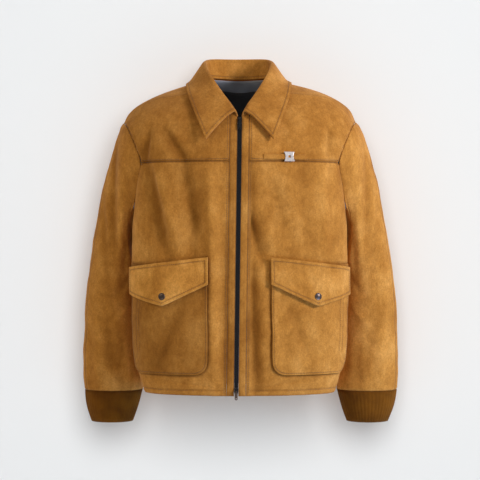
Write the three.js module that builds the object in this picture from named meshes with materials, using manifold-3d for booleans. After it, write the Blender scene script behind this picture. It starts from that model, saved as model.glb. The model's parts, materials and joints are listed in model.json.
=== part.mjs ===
// A suede blouson with a zip front, filled out as if worn, with nobody in it.
// Millimetres, +Z up, +X to the wearer's left, the front faces -Y.
// The origin is between the shoulders, at the height of the shoulder line.
import * as THREE from 'three';
import { mergeVertices } from 'three/addons/utils/BufferGeometryUtils.js';
import Module from 'manifold-3d';

const wasm = await Module();
wasm.setup();

// Cloth thicknesses and clearances
const SUEDE = 2.0;
const COLLAR_WALL = 2.6;
const RIB_WALL = 2.4;
const LINING = 1.0;
const TAPE = 1.0;
const SEAM_GAP = 0.3;
const ARMHOLE_SPREAD = 1.4;

// Main levels and widths of the garment
const HEM_Z = -647;
const ARMPIT_Z = -312;
const YOKE_Z = -165;
const BODY_AXIS_Y = -50;
const SIDE_SEAM_ANGLE = THREE.MathUtils.degToRad(112);
const ZIP_EDGE_X = 4.5;
const BAND_EDGE_X = 20;
const FRONT_SQUARENESS = 2.1;
// The zip leans to the wearer's right towards the hem
const ZIP_LEAN = -7.5;
const ZIP_LEAN_FROM_Z = -80;

// The body's section at each height: half width, and depth before and behind its axis.
// The squareness of the back is 2 for an ellipse and more where the shoulder blades widen it.
const bodyRows = [
  { z: -647, width: 201, front: 94, back: 160, backSquareness: 2.0 },
  { z: -620, width: 210, front: 98, back: 170, backSquareness: 2.0 },
  { z: -565, width: 223, front: 101, back: 183, backSquareness: 2.0 },
  { z: -456, width: 228, front: 102, back: 192, backSquareness: 2.0 },
  { z: -370, width: 229, front: 101, back: 195, backSquareness: 2.1 },
  { z: -306, width: 228, front: 100, back: 194, backSquareness: 2.25 },
  { z: -241, width: 222, front: 100, back: 190, backSquareness: 2.7 },
  { z: -198, width: 218, front: 100, back: 187, backSquareness: 3.0 },
  { z: -165, width: 213, front: 99, back: 184, backSquareness: 3.2 },
];

// Where the armhole cuts the body, as the angle round the body from the centre front
const armholeRows = [
  { z: -312, frontAngle: 112, backAngle: 112 },
  { z: -290, frontAngle: 100, backAngle: 117 },
  { z: -264, frontAngle: 91.5, backAngle: 120 },
  { z: -235, frontAngle: 85, backAngle: 120.5 },
  { z: -200, frontAngle: 79, backAngle: 119 },
  { z: -165, frontAngle: 75.5, backAngle: 117 },
];

// The top of the shoulder from the neck out to the armhole, and how much higher the wearer's
// left shoulder stands
const ridgeRows = [
  { x: 76, y: 12, z: 20, leftLift: 0 },
  { x: 100, y: 14, z: 13, leftLift: 1 },
  { x: 125, y: 15, z: 5, leftLift: 3 },
  { x: 165, y: 14, z: -9, leftLift: 5.5 },
  { x: 193, y: 12, z: -22, leftLift: 6.5 },
  { x: 217, y: 10, z: -35, leftLift: 6.5 },
  { x: 233, y: 8, z: -48, leftLift: 6 },
  { x: 244, y: 6, z: -61, leftLift: 4 },
  { x: 250, y: 5, z: -76, leftLift: 2 },
];
const frontNeckRows = [
  { x: 4.5, y: -106, z: -67 },
  { x: 20, y: -102, z: -60 },
  { x: 44, y: -86, z: -40 },
  { x: 66, y: -63, z: -19 },
];
const backNeckRows = [
  { x: 0, y: 78, z: 24 },
  { x: 30, y: 73, z: 24.5 },
  { x: 55, y: 54, z: 24.5 },
  { x: 70, y: 33, z: 23 },
];
// Share of a yoke's columns that end on the neckline; the rest end on the shoulder
const NECK_SHARE = 1 / 3;
// How far up the front of the shoulder the forward seam lies, in degrees of its round
const SHOULDER_SEAM_AT_NECK = 60;
const FRONT_NECK_ROUND = 38;
const BACK_NECK_ROUND = 52;

// Rings of the sleeve below the armhole, from its outer side to its inner side. Share is how far
// a ring still follows the armhole, turn is where the outer seam lies, in degrees to the front,
// and clearance is the space that the ring leaves beside the body.
const sleeveRows = [
  { zOut: -92, zIn: -321, xOut: 261, xIn: 218, yMid: 4, yHalf: 79, share: 0.55, turn: 2, clearance: 6 },
  { zOut: -113, zIn: -333, xOut: 268.5, xIn: 221.5, yMid: 14, yHalf: 76, share: 0.25, turn: 8, clearance: 9 },
  { zOut: -141, zIn: -346, xOut: 278, xIn: 221, yMid: 23, yHalf: 73, share: 0.08, turn: 14, clearance: 10 },
  { zOut: -176, zIn: -360, xOut: 288, xIn: 220, yMid: 30, yHalf: 70, share: 0, turn: 20, clearance: 10 },
  { zOut: -216, zIn: -377, xOut: 298.5, xIn: 219.5, yMid: 35, yHalf: 68, share: 0, turn: 24, clearance: 9 },
  { zOut: -260, zIn: -396, xOut: 307, xIn: 219, yMid: 39, yHalf: 66, share: 0, turn: 27, clearance: 7 },
  { zOut: -305, zIn: -416, xOut: 316, xIn: 219, yMid: 41, yHalf: 64, share: 0, turn: 28, clearance: 6 },
  { zOut: -350, zIn: -438, xOut: 323, xIn: 219, yMid: 42, yHalf: 62, share: 0, turn: 28, clearance: 5 },
  { zOut: -396, zIn: -462, xOut: 330, xIn: 219, yMid: 42, yHalf: 60, share: 0, turn: 28, clearance: 4.5 },
  { zOut: -442, zIn: -488, xOut: 335, xIn: 218.5, yMid: 41, yHalf: 58, share: 0, turn: 28, clearance: 4.5 },
  { zOut: -487, zIn: -516, xOut: 338.5, xIn: 218, yMid: 40, yHalf: 56, share: 0, turn: 28, clearance: 4.5 },
  { zOut: -530, zIn: -546, xOut: 340, xIn: 217, yMid: 39, yHalf: 54, share: 0, turn: 28, clearance: 4.5 },
  { zOut: -570, zIn: -577, xOut: 340.5, xIn: 215, yMid: 38, yHalf: 53, share: 0, turn: 28, clearance: 4.5 },
  { zOut: -606, zIn: -608, xOut: 340.5, xIn: 212, yMid: 37, yHalf: 52, share: 0, turn: 28, clearance: 4.5 },
  { zOut: -634, zIn: -634, xOut: 340, xIn: 210, yMid: 36, yHalf: 51, share: 0, turn: 28, clearance: 4.5 },
  { zOut: -651, zIn: -651, xOut: 337.5, xIn: 210.5, yMid: 36, yHalf: 48, share: 0, turn: 28, clearance: 4.5 },
];

// The ribbed cuff
const cuffRows = [
  { z: -651.5, xOut: 336.5, xIn: 211.5, yMid: 36, yHalf: 47 },
  { z: -684, xOut: 335, xIn: 219, yMid: 35, yHalf: 45 },
  { z: -719, xOut: 322, xIn: 232, yMid: 34, yHalf: 38 },
];
const CUFF_RIBS = 46;
const RIB_RISE = 1.3;

// Large soft folds of the body: where they lie, their width and their depth.
// A negative depth is a trough.
const bodyFolds = [
  { x: -172, top: -150, bottom: -330, halfWidth: 20, depth: -5, lean: 0.06 },
  { x: -98, top: -170, bottom: -400, halfWidth: 17, depth: -4.5, lean: -0.05 },
  { x: -58, top: -160, bottom: -420, halfWidth: 20, depth: 4, lean: -0.03 },
  { x: -30, top: -430, bottom: -640, halfWidth: 14, depth: -3, lean: 0.02 },
  { x: 30, top: -250, bottom: -560, halfWidth: 15, depth: -4.5, lean: -0.04 },
  { x: 66, top: -300, bottom: -390, halfWidth: 14, depth: 3.5, lean: -0.3 },
  { x: 120, top: -160, bottom: -350, halfWidth: 24, depth: 4, lean: 0.05 },
  { x: 190, top: -150, bottom: -340, halfWidth: 16, depth: -4.5, lean: 0.03 },
];
const backFolds = [
  { x: -140, top: -130, bottom: -560, halfWidth: 24, depth: -5, lean: 0.05 },
  { x: -60, top: -320, bottom: -650, halfWidth: 22, depth: 4.5, lean: -0.04 },
  { x: 50, top: -180, bottom: -520, halfWidth: 24, depth: -4.5, lean: 0.03 },
  { x: 135, top: -240, bottom: -640, halfWidth: 22, depth: 4.5, lean: -0.05 },
];
// Large folds of the sleeves: angle from the outer side towards the front, in degrees
const sleeveFolds = [
  { angle: 70, row: 3.5, length: 3.2, halfWidth: 24, depth: -4.5, turn: 6 },
  { angle: 100, row: 8.5, length: 1.6, halfWidth: 40, depth: -3.5, turn: -14 },
  { angle: 60, row: 11, length: 1.5, halfWidth: 40, depth: -3, turn: 16 },
  { angle: -80, row: 5, length: 3.5, halfWidth: 26, depth: -4.5, turn: -6 },
  { angle: -60, row: 10, length: 1.6, halfWidth: 42, depth: -3.5, turn: 12 },
];
// How much fuller the wearer's left sleeve hangs on its outer side
const LEFT_SLEEVE_FULLNESS = 5;
const UNDERARM_Y = 32;
const GATHERS = 13;
const GATHER_DEPTH = 1.6;

// The collar from the centre back to its front tips: share of the way round the neckline,
// the roll line, and the edge of the leaf
const collarRows = [
  { along: 0, rollX: 0, rollY: 84, rollZ: 69, edgeX: 0, edgeY: 112, edgeZ: 8 },
  { along: 0.13, rollX: 37, rollY: 79, rollZ: 69, edgeX: 54, edgeY: 103, edgeZ: 8 },
  { along: 0.26, rollX: 62, rollY: 60, rollZ: 66, edgeX: 90, edgeY: 76, edgeZ: 8 },
  { along: 0.39, rollX: 71, rollY: 28, rollZ: 56, edgeX: 108, edgeY: 40, edgeZ: 7 },
  { along: 0.52, rollX: 67, rollY: -6, rollZ: 38, edgeX: 112, edgeY: 2, edgeZ: 3 },
  { along: 0.65, rollX: 54, rollY: -40, rollZ: 13, edgeX: 108, edgeY: -42, edgeZ: -20 },
  { along: 0.77, rollX: 37, rollY: -68, rollZ: -16, edgeX: 98, edgeY: -78, edgeZ: -50 },
  { along: 0.89, rollX: 21, rollY: -90, rollZ: -40, edgeX: 84, edgeY: -108, edgeZ: -85 },
  { along: 1, rollX: 8, rollY: -107, rollZ: -57, edgeX: 69, edgeY: -133, edgeZ: -122 },
];
const COLLAR_ROLL = 5;
const COLLAR_SEAT = 1.0;
const COLLAR_CLEARANCE = 0.5;
// The collar sits a little to the wearer's right, more so towards its roll
const COLLAR_SHIFT = -5;

// Patch pockets and their flaps, measured round the body from the pocket's front edge
const POCKET_FRONT_X = 65;
const POCKET_WIDTH = 186;
const POCKET_TOP_Z = -378;
const POCKET_BOTTOM_Z = -604;
const POCKET_CORNER = 26;
const POCKET_FULLNESS = 5;
const FLAP_WIDTH = 192;
const FLAP_TOP_Z = -362;
const FLAP_SIDE_DROP = 22;
const FLAP_END_HEIGHT = 56;
const FLAP_POINT_HEIGHT = 90;
const SNAP_ABOVE_POINT = 20;
const FLAP_CLEARANCE = 1.3;
const FLAP_FRONT_X = 63;
const PANEL_GAP = 0.75;
const SNAP_SEAT = 0.6;
const snapRows = [
  { radius: 0, height: 0 },
  { radius: 6.6, height: 0 },
  { radius: 7.5, height: 0.9 },
  { radius: 7.2, height: 1.8 },
  { radius: 5.6, height: 2.7 },
  { radius: 2.6, height: 3.3 },
  { radius: 0, height: 3.4 },
];

// Chest strap and its plain metal keeper, on the wearer's left
const STRAP = { fromX: 48, toX: 134, lowZ: -162.5, highZ: -151 };
const STRAP_SEAT = 2.8;
const STRAP_EDGE_SEAT = 0.55;
const STRAP_THICKNESS = 2;
const KEEPER = { x: 101, z: -157, width: 22, height: 20, waist: 10, bar: 1.6, clearance: 0.7 };
const KEEPER_HOLLOW = 2.5;
const KEEPER_SLOT_PLAY = 3.2;

// Lining inside the back neck and the label on it, in columns and rows of the upper back
const LINING_SPAN = { halfColumns: 4, fromRow: 2, toRow: 6 };
const LABEL_SPAN = { halfColumns: 2, fromRow: 3, toRow: 5 };
const LINING_SEAT = 0.5;

// Zip
const TAPE_EDGE_X = 15;
const TAPE_SEAT = 0.9;
const CHAIN_HALF_WIDTH = 4.2;
const CHAIN_FRONT = 0.8;
const CHAIN_DEPTH = 2.2;
const TOP_SLIDER = { z: -79, length: 15, width: 9, depth: 5, pull: 27 };
const BOTTOM_SLIDER = { z: -636, length: 13, width: 9, depth: 5, pull: 18.5 };
const PULL_THICKNESS = 1.6;
const PULL_WIDTH = 6;
const BAR_RADIUS = 0.9;
const EYE_CLEARANCE = 0.35;
const EYE_WALL = 1.1;
const EYE_RADIUS = BAR_RADIUS + EYE_CLEARANCE + EYE_WALL;
const EYE_WIDTH = 3;
const LUG_THICKNESS = 1.3;
const LUG_LENGTH = 4;
const LUG_ROOT = 0.2;
const PULL_HOLE_RADIUS = 1.3;
const SLIDER_TAIL = 0.62;
const SLIDER_NOSE = 0.55;
const SLIDER_SHOULDER = 0.35;

// Numbers of columns and rows in each panel
const PANEL_COLUMNS = 12;
const YOKE_ROWS = 5;
const BACK_UPPER_ROWS = 6;
const STRIP_ROWS = 2;
const lowerHeights = [HEM_Z, -632, -604, -565, -517, -466, -415, -363, ARMPIT_Z];
const armholeHeights = [ARMPIT_Z, -294, -275, -254, -232, -210, -188, YOKE_Z];
const COLLAR_COLUMNS = 13;
const COLLAR_HALF_STATIONS = 12;
const COLLAR_LEAF_FROM = 7;
const POCKET_COLUMNS = 10;
const pocketDepths = [0, 0.12, 0.28, 0.45, 0.62, 0.78, 0.9, 0.96, 1];
const FLAP_ROWS = 4;
const CHAIN_ROWS = 22;
const STRAP_COLUMNS = 14;
const SNAP_SIDES = 16;
const ZIP_SAMPLES = 400;
const WALK_STEPS = 160;

const { lerp, clamp, smoothstep, degToRad } = THREE.MathUtils;
const vector = (x, y, z) => new THREE.Vector3(x, y, z);
const rowVector = (row, side) => vector(side * row.x, row.y, row.z);

// A smooth reading of one column of a table, with no overshoot between its rows
function reader(rows, key, column) {
  const sorted = [...rows].sort((a, b) => a[key] - b[key]);
  const at = sorted.map((row) => row[key]);
  const value = sorted.map((row) => row[column]);
  const last = at.length - 1;
  const rise = at.slice(1).map((x, i) => (value[i + 1] - value[i]) / (x - at[i]));
  const slope = value.map((_, i) => {
    if (i === 0) return rise[0];
    if (i === last) return rise[last - 1];
    return rise[i - 1] * rise[i] <= 0 ? 0 : (2 * rise[i - 1] * rise[i]) / (rise[i - 1] + rise[i]);
  });
  return (x) => {
    const inside = clamp(x, at[0], at[last]);
    const i = Math.min(last - 1, at.filter((a) => a <= inside).length - 1);
    const step = at[i + 1] - at[i];
    const t = (inside - at[i]) / step;
    const bend = (1 - t) * (1 - t);
    return value[i] * (1 + 2 * t) * bend + value[i + 1] * t * t * (3 - 2 * t)
      + step * (slope[i] * t * bend - slope[i + 1] * t * t * (1 - t));
  };
}

const bodyWidth = reader(bodyRows, 'z', 'width');
const bodyFront = reader(bodyRows, 'z', 'front');
const bodyBack = reader(bodyRows, 'z', 'back');
const backSquareness = reader(bodyRows, 'z', 'backSquareness');
const armholeFront = reader(armholeRows, 'z', 'frontAngle');
const armholeBack = reader(armholeRows, 'z', 'backAngle');

// How far the folds of a table lift the cloth at one place
function foldLift(folds, x, z) {
  return folds.reduce((lift, fold) => {
    const middle = (fold.top + fold.bottom) / 2;
    const reach = (fold.top - fold.bottom) / 2;
    const along = (z - middle) / reach;
    if (Math.abs(along) >= 1) return lift;
    const across = (x - fold.x - fold.lean * (z - middle)) / fold.halfWidth;
    return lift + fold.depth * Math.exp(-across * across) * Math.cos((along * Math.PI) / 2) ** 2;
  }, 0);
}

// A point of the body's section; the angle runs from the centre front to the centre back, and is
// negative across the centre front
function bodyPoint(side, angle, z) {
  const inFront = angle < Math.PI / 2;
  const power = 2 / (inFront ? FRONT_SQUARENESS : backSquareness(z));
  const x = side * bodyWidth(z) * Math.sign(angle) * Math.abs(Math.sin(angle)) ** power;
  const across = Math.abs(Math.cos(angle)) ** power;
  const folds = foldLift(inFront ? bodyFolds : backFolds, x, z) * smoothstep(across, 0, 0.5);
  const depth = (inFront ? bodyFront(z) : bodyBack(z)) + folds;
  return vector(x, BODY_AXIS_Y + (inFront ? -1 : 1) * depth * across, z);
}

function frontAngleAt(x, z) {
  return Math.sign(x) * Math.asin(clamp(Math.abs(x) / bodyWidth(z), 0, 1) ** (FRONT_SQUARENESS / 2));
}

const frontLimit = (z) => (z <= ARMPIT_Z ? SIDE_SEAM_ANGLE : degToRad(armholeFront(z)));
const backLimit = (z) => (z <= ARMPIT_Z ? SIDE_SEAM_ANGLE : degToRad(armholeBack(z)));
const frontColumn = (side, u, z) =>
  bodyPoint(side, lerp(frontAngleAt(BAND_EDGE_X + side * zipLean(z), z), frontLimit(z), u), z);
const zipLean = (z) => ZIP_LEAN * clamp((ZIP_LEAN_FROM_Z - z) / (ZIP_LEAN_FROM_Z - HEM_Z), 0, 1);
const frontEdgePoint = (side, x, z) => bodyPoint(side, frontAngleAt(x + side * zipLean(z), z), z);
const backColumn = (side, u, z) => bodyPoint(side, lerp(Math.PI, backLimit(z), u), z);

// The shoulder: each column rises from the chest or the back and rounds over to the ridge
const ridgeHeight = (row, side) => row.z + (side > 0 ? row.leftLift : 0);
const ridgeCurve = (side) => new THREE.CatmullRomCurve3(
  ridgeRows.map((row) => vector(side * row.x, row.y, ridgeHeight(row, side))),
);
const shoulderShare = (u) => clamp((u - NECK_SHARE) / (1 - NECK_SHARE), 0, 1);
const ridgePoint = (side, u) => ridgeCurve(side).getPointAt(shoulderShare(u));
const seamRound = (u) => lerp(SHOULDER_SEAM_AT_NECK, 90, shoulderShare(u) ** 1.8);
const frontFullness = (u) => lerp(1.35, 0.95, shoulderShare(u));
const BACK_FULLNESS = 1.0;
const rise = (degrees, power) => Math.sin(degToRad(degrees)) ** power;
const reach = (degrees, power) => 1 - Math.max(0, Math.cos(degToRad(degrees))) ** power;
const spread = (degrees) => degrees / 180 + Math.sin(degToRad(degrees)) / 2;

function shoulderPoint(low, high, degrees, endDegrees, power) {
  const shareX = spread(degrees) / spread(endDegrees);
  const shareY = reach(degrees, power) / reach(endDegrees, power);
  const shareZ = rise(degrees, power) / rise(endDegrees, power);
  return vector(lerp(low.x, high.x, shareX), lerp(low.y, high.y, shareY), lerp(low.z, high.z, shareZ));
}

const frontShoulder = (side, u, degrees) =>
  shoulderPoint(frontColumn(side, u, YOKE_Z), ridgePoint(side, u), degrees, 90, frontFullness(u));
const seamNeckEnd = (side) => frontShoulder(side, NECK_SHARE, SHOULDER_SEAM_AT_NECK);

function frontNeckPoint(side, u) {
  const points = [...frontNeckRows.slice(1).map((row) => rowVector(row, side)), seamNeckEnd(side)];
  return new THREE.CatmullRomCurve3(points).getPointAt(clamp(u / NECK_SHARE, 0, 1));
}

function backNeckPoint(side, u) {
  const points = [...backNeckRows.map((row) => rowVector(row, side)), ridgePoint(side, NECK_SHARE)];
  return new THREE.CatmullRomCurve3(points).getPointAt(clamp(u / NECK_SHARE, 0, 1));
}

// A point of the front yoke; v is 0 on the yoke seam and 1 on the neckline or shoulder seam
function yokePoint(side, u, v) {
  if (u >= NECK_SHARE) return frontShoulder(side, u, v * seamRound(u));
  const end = lerp(FRONT_NECK_ROUND, SHOULDER_SEAM_AT_NECK, u / NECK_SHARE);
  const low = frontColumn(side, u, YOKE_Z);
  return shoulderPoint(low, frontNeckPoint(side, u), v * end, end, frontFullness(0));
}

// A point of the upper back; v is 0 at the level of the yoke seam and 1 on the neckline or ridge
function upperBackPoint(side, u, v) {
  const low = backColumn(side, u, YOKE_Z);
  if (u >= NECK_SHARE) return shoulderPoint(low, ridgePoint(side, u), v * 90, 90, BACK_FULLNESS);
  const end = lerp(BACK_NECK_ROUND, 90, u / NECK_SHARE);
  return shoulderPoint(low, backNeckPoint(side, u), v * end, end, BACK_FULLNESS);
}

// A point of the front bands beside the zip; v is 0 at the hem and counts heights, then yoke rows
function bandPoint(side, x, row) {
  if (row < bandHeights.length) return frontEdgePoint(side, x, bandHeights[row]);
  const v = (row - bandHeights.length + 1) / YOKE_ROWS;
  const share = (x - ZIP_EDGE_X) / (BAND_EDGE_X - ZIP_EDGE_X);
  const top = rowVector(frontNeckRows[0], side).lerp(rowVector(frontNeckRows[1], side), share);
  const low = frontEdgePoint(side, x, YOKE_Z);
  const end = FRONT_NECK_ROUND;
  return shoulderPoint(low, top, v * end, end, frontFullness(0));
}
const bandHeights = [...lowerHeights, ...armholeHeights.slice(1)];
const BAND_ROWS = bandHeights.length - 1 + YOKE_ROWS;

// The depth of the centre front at any height, for the zip
const centreFront = new THREE.CatmullRomCurve3(
  Array.from({ length: BAND_ROWS + 1 }, (_, row) => {
    const point = bandPoint(1, ZIP_EDGE_X, row);
    return vector(zipLean(point.z), point.y, point.z);
  }),
);
const centreFrames = centreFront.getSpacedPoints(ZIP_SAMPLES);
function zipFrame(z) {
  const i = clamp(centreFrames.findIndex((point) => point.z >= z), 1, centreFrames.length - 1);
  const [below, above] = [centreFrames[i - 1], centreFrames[i]];
  const up = above.clone().sub(below).setX(0).normalize();
  const origin = below.clone().lerp(above, clamp((z - below.z) / (above.z - below.z), 0, 1));
  return { origin, up, out: vector(0, -up.z, up.y) };
}

// The sleeve's rings
const gatherShare = (row) => smoothstep(row, sleeveRows.length - 2.6, sleeveRows.length - 1);
function sleeveLift(degrees, row) {
  const folds = sleeveFolds.reduce((lift, fold) => {
    const along = (row - fold.row) / fold.length;
    if (Math.abs(along) >= 1) return lift;
    const across = (degrees - fold.angle - fold.turn * (row - fold.row)) / fold.halfWidth;
    return lift + fold.depth * Math.exp(-across * across) * Math.cos((along * Math.PI) / 2) ** 2;
  }, 0);
  const inside = Math.cos(degToRad(degrees) / 2) ** 2;
  const gather = 0.5 + 0.5 * Math.cos(degToRad(degrees) * GATHERS);
  return folds * inside - GATHER_DEPTH * gather * gatherShare(row);
}

// Keeps a point of the sleeve clear of the body beside it
function clearOfBody(point, side, clearance) {
  if (point.z > YOKE_Z) return point;
  const inFront = point.y < BODY_AXIS_Y;
  const power = inFront ? FRONT_SQUARENESS : backSquareness(point.z);
  const depth = inFront ? bodyFront(point.z) : bodyBack(point.z);
  const across = clamp(Math.abs(point.y - BODY_AXIS_Y) / depth, 0, 1);
  const bodyX = bodyWidth(point.z) * (1 - across ** power) ** (1 / power);
  const nearest = bodyX + clearance;
  const beyond = side * point.x - nearest;
  const eased = (beyond + Math.sqrt(beyond ** 2 + 4)) / 2;
  return vector(side * (nearest + eased), point.y, point.z);
}

function sleevePoint(side, degrees, row) {
  const ring = sleeveRows[row];
  const angle = degToRad(degrees);
  const lift = sleeveLift(degrees, row);
  const xHalf = (ring.xOut - ring.xIn) / 2;
  const x = (ring.xOut + ring.xIn) / 2 + (xHalf + lift) * Math.cos(angle);
  const inwards = (1 - Math.cos(angle)) / 2;
  const middle = lerp(ring.yMid, Math.max(ring.yMid, UNDERARM_Y), inwards);
  const y = middle - (ring.yHalf + lift) * Math.sin(angle);
  const fullness = side > 0 ? LEFT_SLEEVE_FULLNESS * (1 - inwards) : 0;
  return vector(side * (x + fullness), y, lerp(ring.zOut, ring.zIn, inwards));
}

// The armhole's edge from the shoulder to the armpit, along the front or the back
function armholeEdge(side, front) {
  const upperRows = front ? YOKE_ROWS : BACK_UPPER_ROWS;
  const upper = Array.from({ length: upperRows + 1 }, (_, i) => {
    const v = 1 - i / upperRows;
    return front ? yokePoint(side, 1, v) : upperBackPoint(side, 1, v);
  });
  const lower = [...armholeHeights].reverse().slice(1).map((z) =>
    (front ? frontColumn(side, 1, z) : backColumn(side, 1, z)));
  return [...upper, ...lower];
}

// One surface holds every sewn panel, so that neighbours share their seam's points and normals
class Garment {
  points = [];
  places = new Map();
  panels = new Map();
  onArmhole = new Set();

  pointIndex(point) {
    const key = point.toArray().map((value) => Math.round(value * 50)).join();
    if (!this.places.has(key)) {
      this.places.set(key, this.points.length);
      this.points.push(point);
    }
    return this.places.get(key);
  }

  patch(panel, columns, rows, at, flip) {
    const grid = Array.from({ length: columns + 1 }, (_, i) =>
      Array.from({ length: rows + 1 }, (_, j) => this.pointIndex(at(i, j))));
    if (!this.panels.has(panel)) this.panels.set(panel, []);
    const faces = this.panels.get(panel);
    for (let i = 0; i < columns; i += 1) {
      for (let j = 0; j < rows; j += 1) {
        const [a, c] = [grid[i][j], grid[i + 1][j + 1]];
        const [b, d] = flip ? [grid[i][j + 1], grid[i + 1][j]] : [grid[i + 1][j], grid[i][j + 1]];
        [[a, b, c], [a, c, d]].forEach((face) => {
          if (new Set(face).size === 3) faces.push(face);
        });
      }
    }
  }

  faceNormal([a, b, c]) {
    const [pa, pb, pc] = [a, b, c].map((i) => this.points[i]);
    return pb.clone().sub(pa).cross(pc.clone().sub(pa));
  }

  finish() {
    const familyNormals = (family) => {
      const sums = this.points.map(() => vector(0, 0, 0));
      for (const [panel, faces] of this.panels) {
        if (panel.startsWith('sleeve') !== family) continue;
        faces.forEach((face) => {
          const normal = this.faceNormal(face).normalize();
          face.forEach((i) => sums[i].add(normal));
        });
      }
      return sums.map((sum) => sum.normalize());
    };
    // Body and sleeve count alike where they meet, so that the armhole's edge is a true mitre
    this.sleeveNormals = familyNormals(true);
    this.bodyNormals = familyNormals(false);
    this.normals = this.bodyNormals.map((normal, i) => normal.clone().add(this.sleeveNormals[i]));
    // 1 where the cloth is flat, and less the sharper it turns
    this.flatness = this.normals.map((normal, i) => normal.length() / (this.onArmhole.has(i) ? 2 : 1));
    this.normals.forEach((normal) => normal.normalize());
  }

  // A closed wall of one panel, its edges drawn in by half a seam gap
  wall(panel, thickness) {
    const faces = this.panels.get(panel);
    const edges = new Map();
    faces.forEach((face) => face.forEach((a, i) => edges.set(`${a}_${face[(i + 1) % 3]}`, face)));
    const rim = [...edges.entries()]
      .map(([key, face]) => [...key.split('_').map(Number), face])
      .filter(([a, b]) => !edges.has(`${b}_${a}`));
    const pull = new Map();
    rim.forEach(([a, b, face]) => {
      const along = this.points[b].clone().sub(this.points[a]);
      const inwards = this.faceNormal(face).cross(along).normalize();
      [a, b].forEach((i) => pull.set(i, (pull.get(i) ?? vector(0, 0, 0)).add(inwards)));
    });
    const used = [...new Set(faces.flat())];
    const outer = new Map(used.map((i, k) => [i, k]));
    const own = panel.startsWith('sleeve') ? this.sleeveNormals : this.bodyNormals;
    const positions = [];
    const layer = (depth) => used.forEach((i) => {
      const point = this.points[i].clone().addScaledVector(this.normals[i], -depth);
      const gap = SEAM_GAP * (this.onArmhole.has(i) ? 1.3 : 0.6);
      if (pull.has(i)) point.addScaledVector(pull.get(i).clone().normalize(), gap);
      if (this.onArmhole.has(i)) point.addScaledVector(own[i], (this.flatness[i] - 1) * ARMHOLE_SPREAD);
      positions.push(point.x, point.y, point.z);
    });
    layer(0);
    layer(thickness);
    const inner = (i) => outer.get(i) + used.length;
    const indices = [];
    faces.forEach((face) => {
      indices.push(...face.map((i) => outer.get(i)));
      indices.push(...[...face].reverse().map(inner));
    });
    rim.forEach(([a, b]) => {
      indices.push(outer.get(b), outer.get(a), inner(a), outer.get(b), inner(a), inner(b));
    });
    return indexedGeometry(positions, indices);
  }
}

function indexedGeometry(positions, indices) {
  const geometry = new THREE.BufferGeometry();
  geometry.setAttribute('position', new THREE.Float32BufferAttribute(positions, 3));
  geometry.setIndex(indices);
  return geometry;
}

// A closed wall from a grid of bottom points and a grid of top points. Before the column turnAt
// the squares are cut on their other diagonal, as a mirrored panel's are.
function gridWall(bottom, top, closed = false, turnAt = 0) {
  const columns = bottom.length;
  const rows = bottom[0].length;
  const positions = [];
  [bottom, top].forEach((grid) => grid.flat().forEach((point) => positions.push(...point.toArray())));
  const id = (level, i, j) => level * columns * rows + (i % columns) * rows + j;
  const indices = [];
  const quad = (a, b, c, d) => indices.push(a, b, c, a, c, d);
  const spans = closed ? columns : columns - 1;
  for (let i = 0; i < spans; i += 1) {
    for (let j = 0; j < rows - 1; j += 1) {
      const [a, b, c, d] = [[i, j], [i + 1, j], [i + 1, j + 1], [i, j + 1]];
      const order = i < turnAt ? [b, c, d, a] : [a, b, c, d];
      quad(...order.map((place) => id(1, ...place)));
      const under = i < turnAt ? [b, a, d, c] : [a, d, c, b];
      quad(...under.map((place) => id(0, ...place)));
    }
    quad(id(0, i, 0), id(0, i + 1, 0), id(1, i + 1, 0), id(1, i, 0));
    quad(id(0, i + 1, rows - 1), id(0, i, rows - 1), id(1, i, rows - 1), id(1, i + 1, rows - 1));
  }
  if (!closed) {
    for (let j = 0; j < rows - 1; j += 1) {
      quad(id(0, 0, j + 1), id(0, 0, j), id(1, 0, j), id(1, 0, j + 1));
      const end = columns - 1;
      quad(id(0, end, j), id(0, end, j + 1), id(1, end, j + 1), id(1, end, j));
    }
  }
  return facingOut(indexedGeometry(positions, indices));
}

// Turns a closed mesh so that its faces point outwards
function facingOut(geometry) {
  const position = geometry.getAttribute('position');
  const index = geometry.getIndex().array;
  const corner = (k) => vector(0, 0, 0).fromBufferAttribute(position, index[k]);
  let volume = 0;
  for (let k = 0; k < index.length; k += 3) volume += corner(k).dot(corner(k + 1).cross(corner(k + 2)));
  if (volume < 0) geometry.setIndex([...index].reverse());
  return geometry;
}

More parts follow.
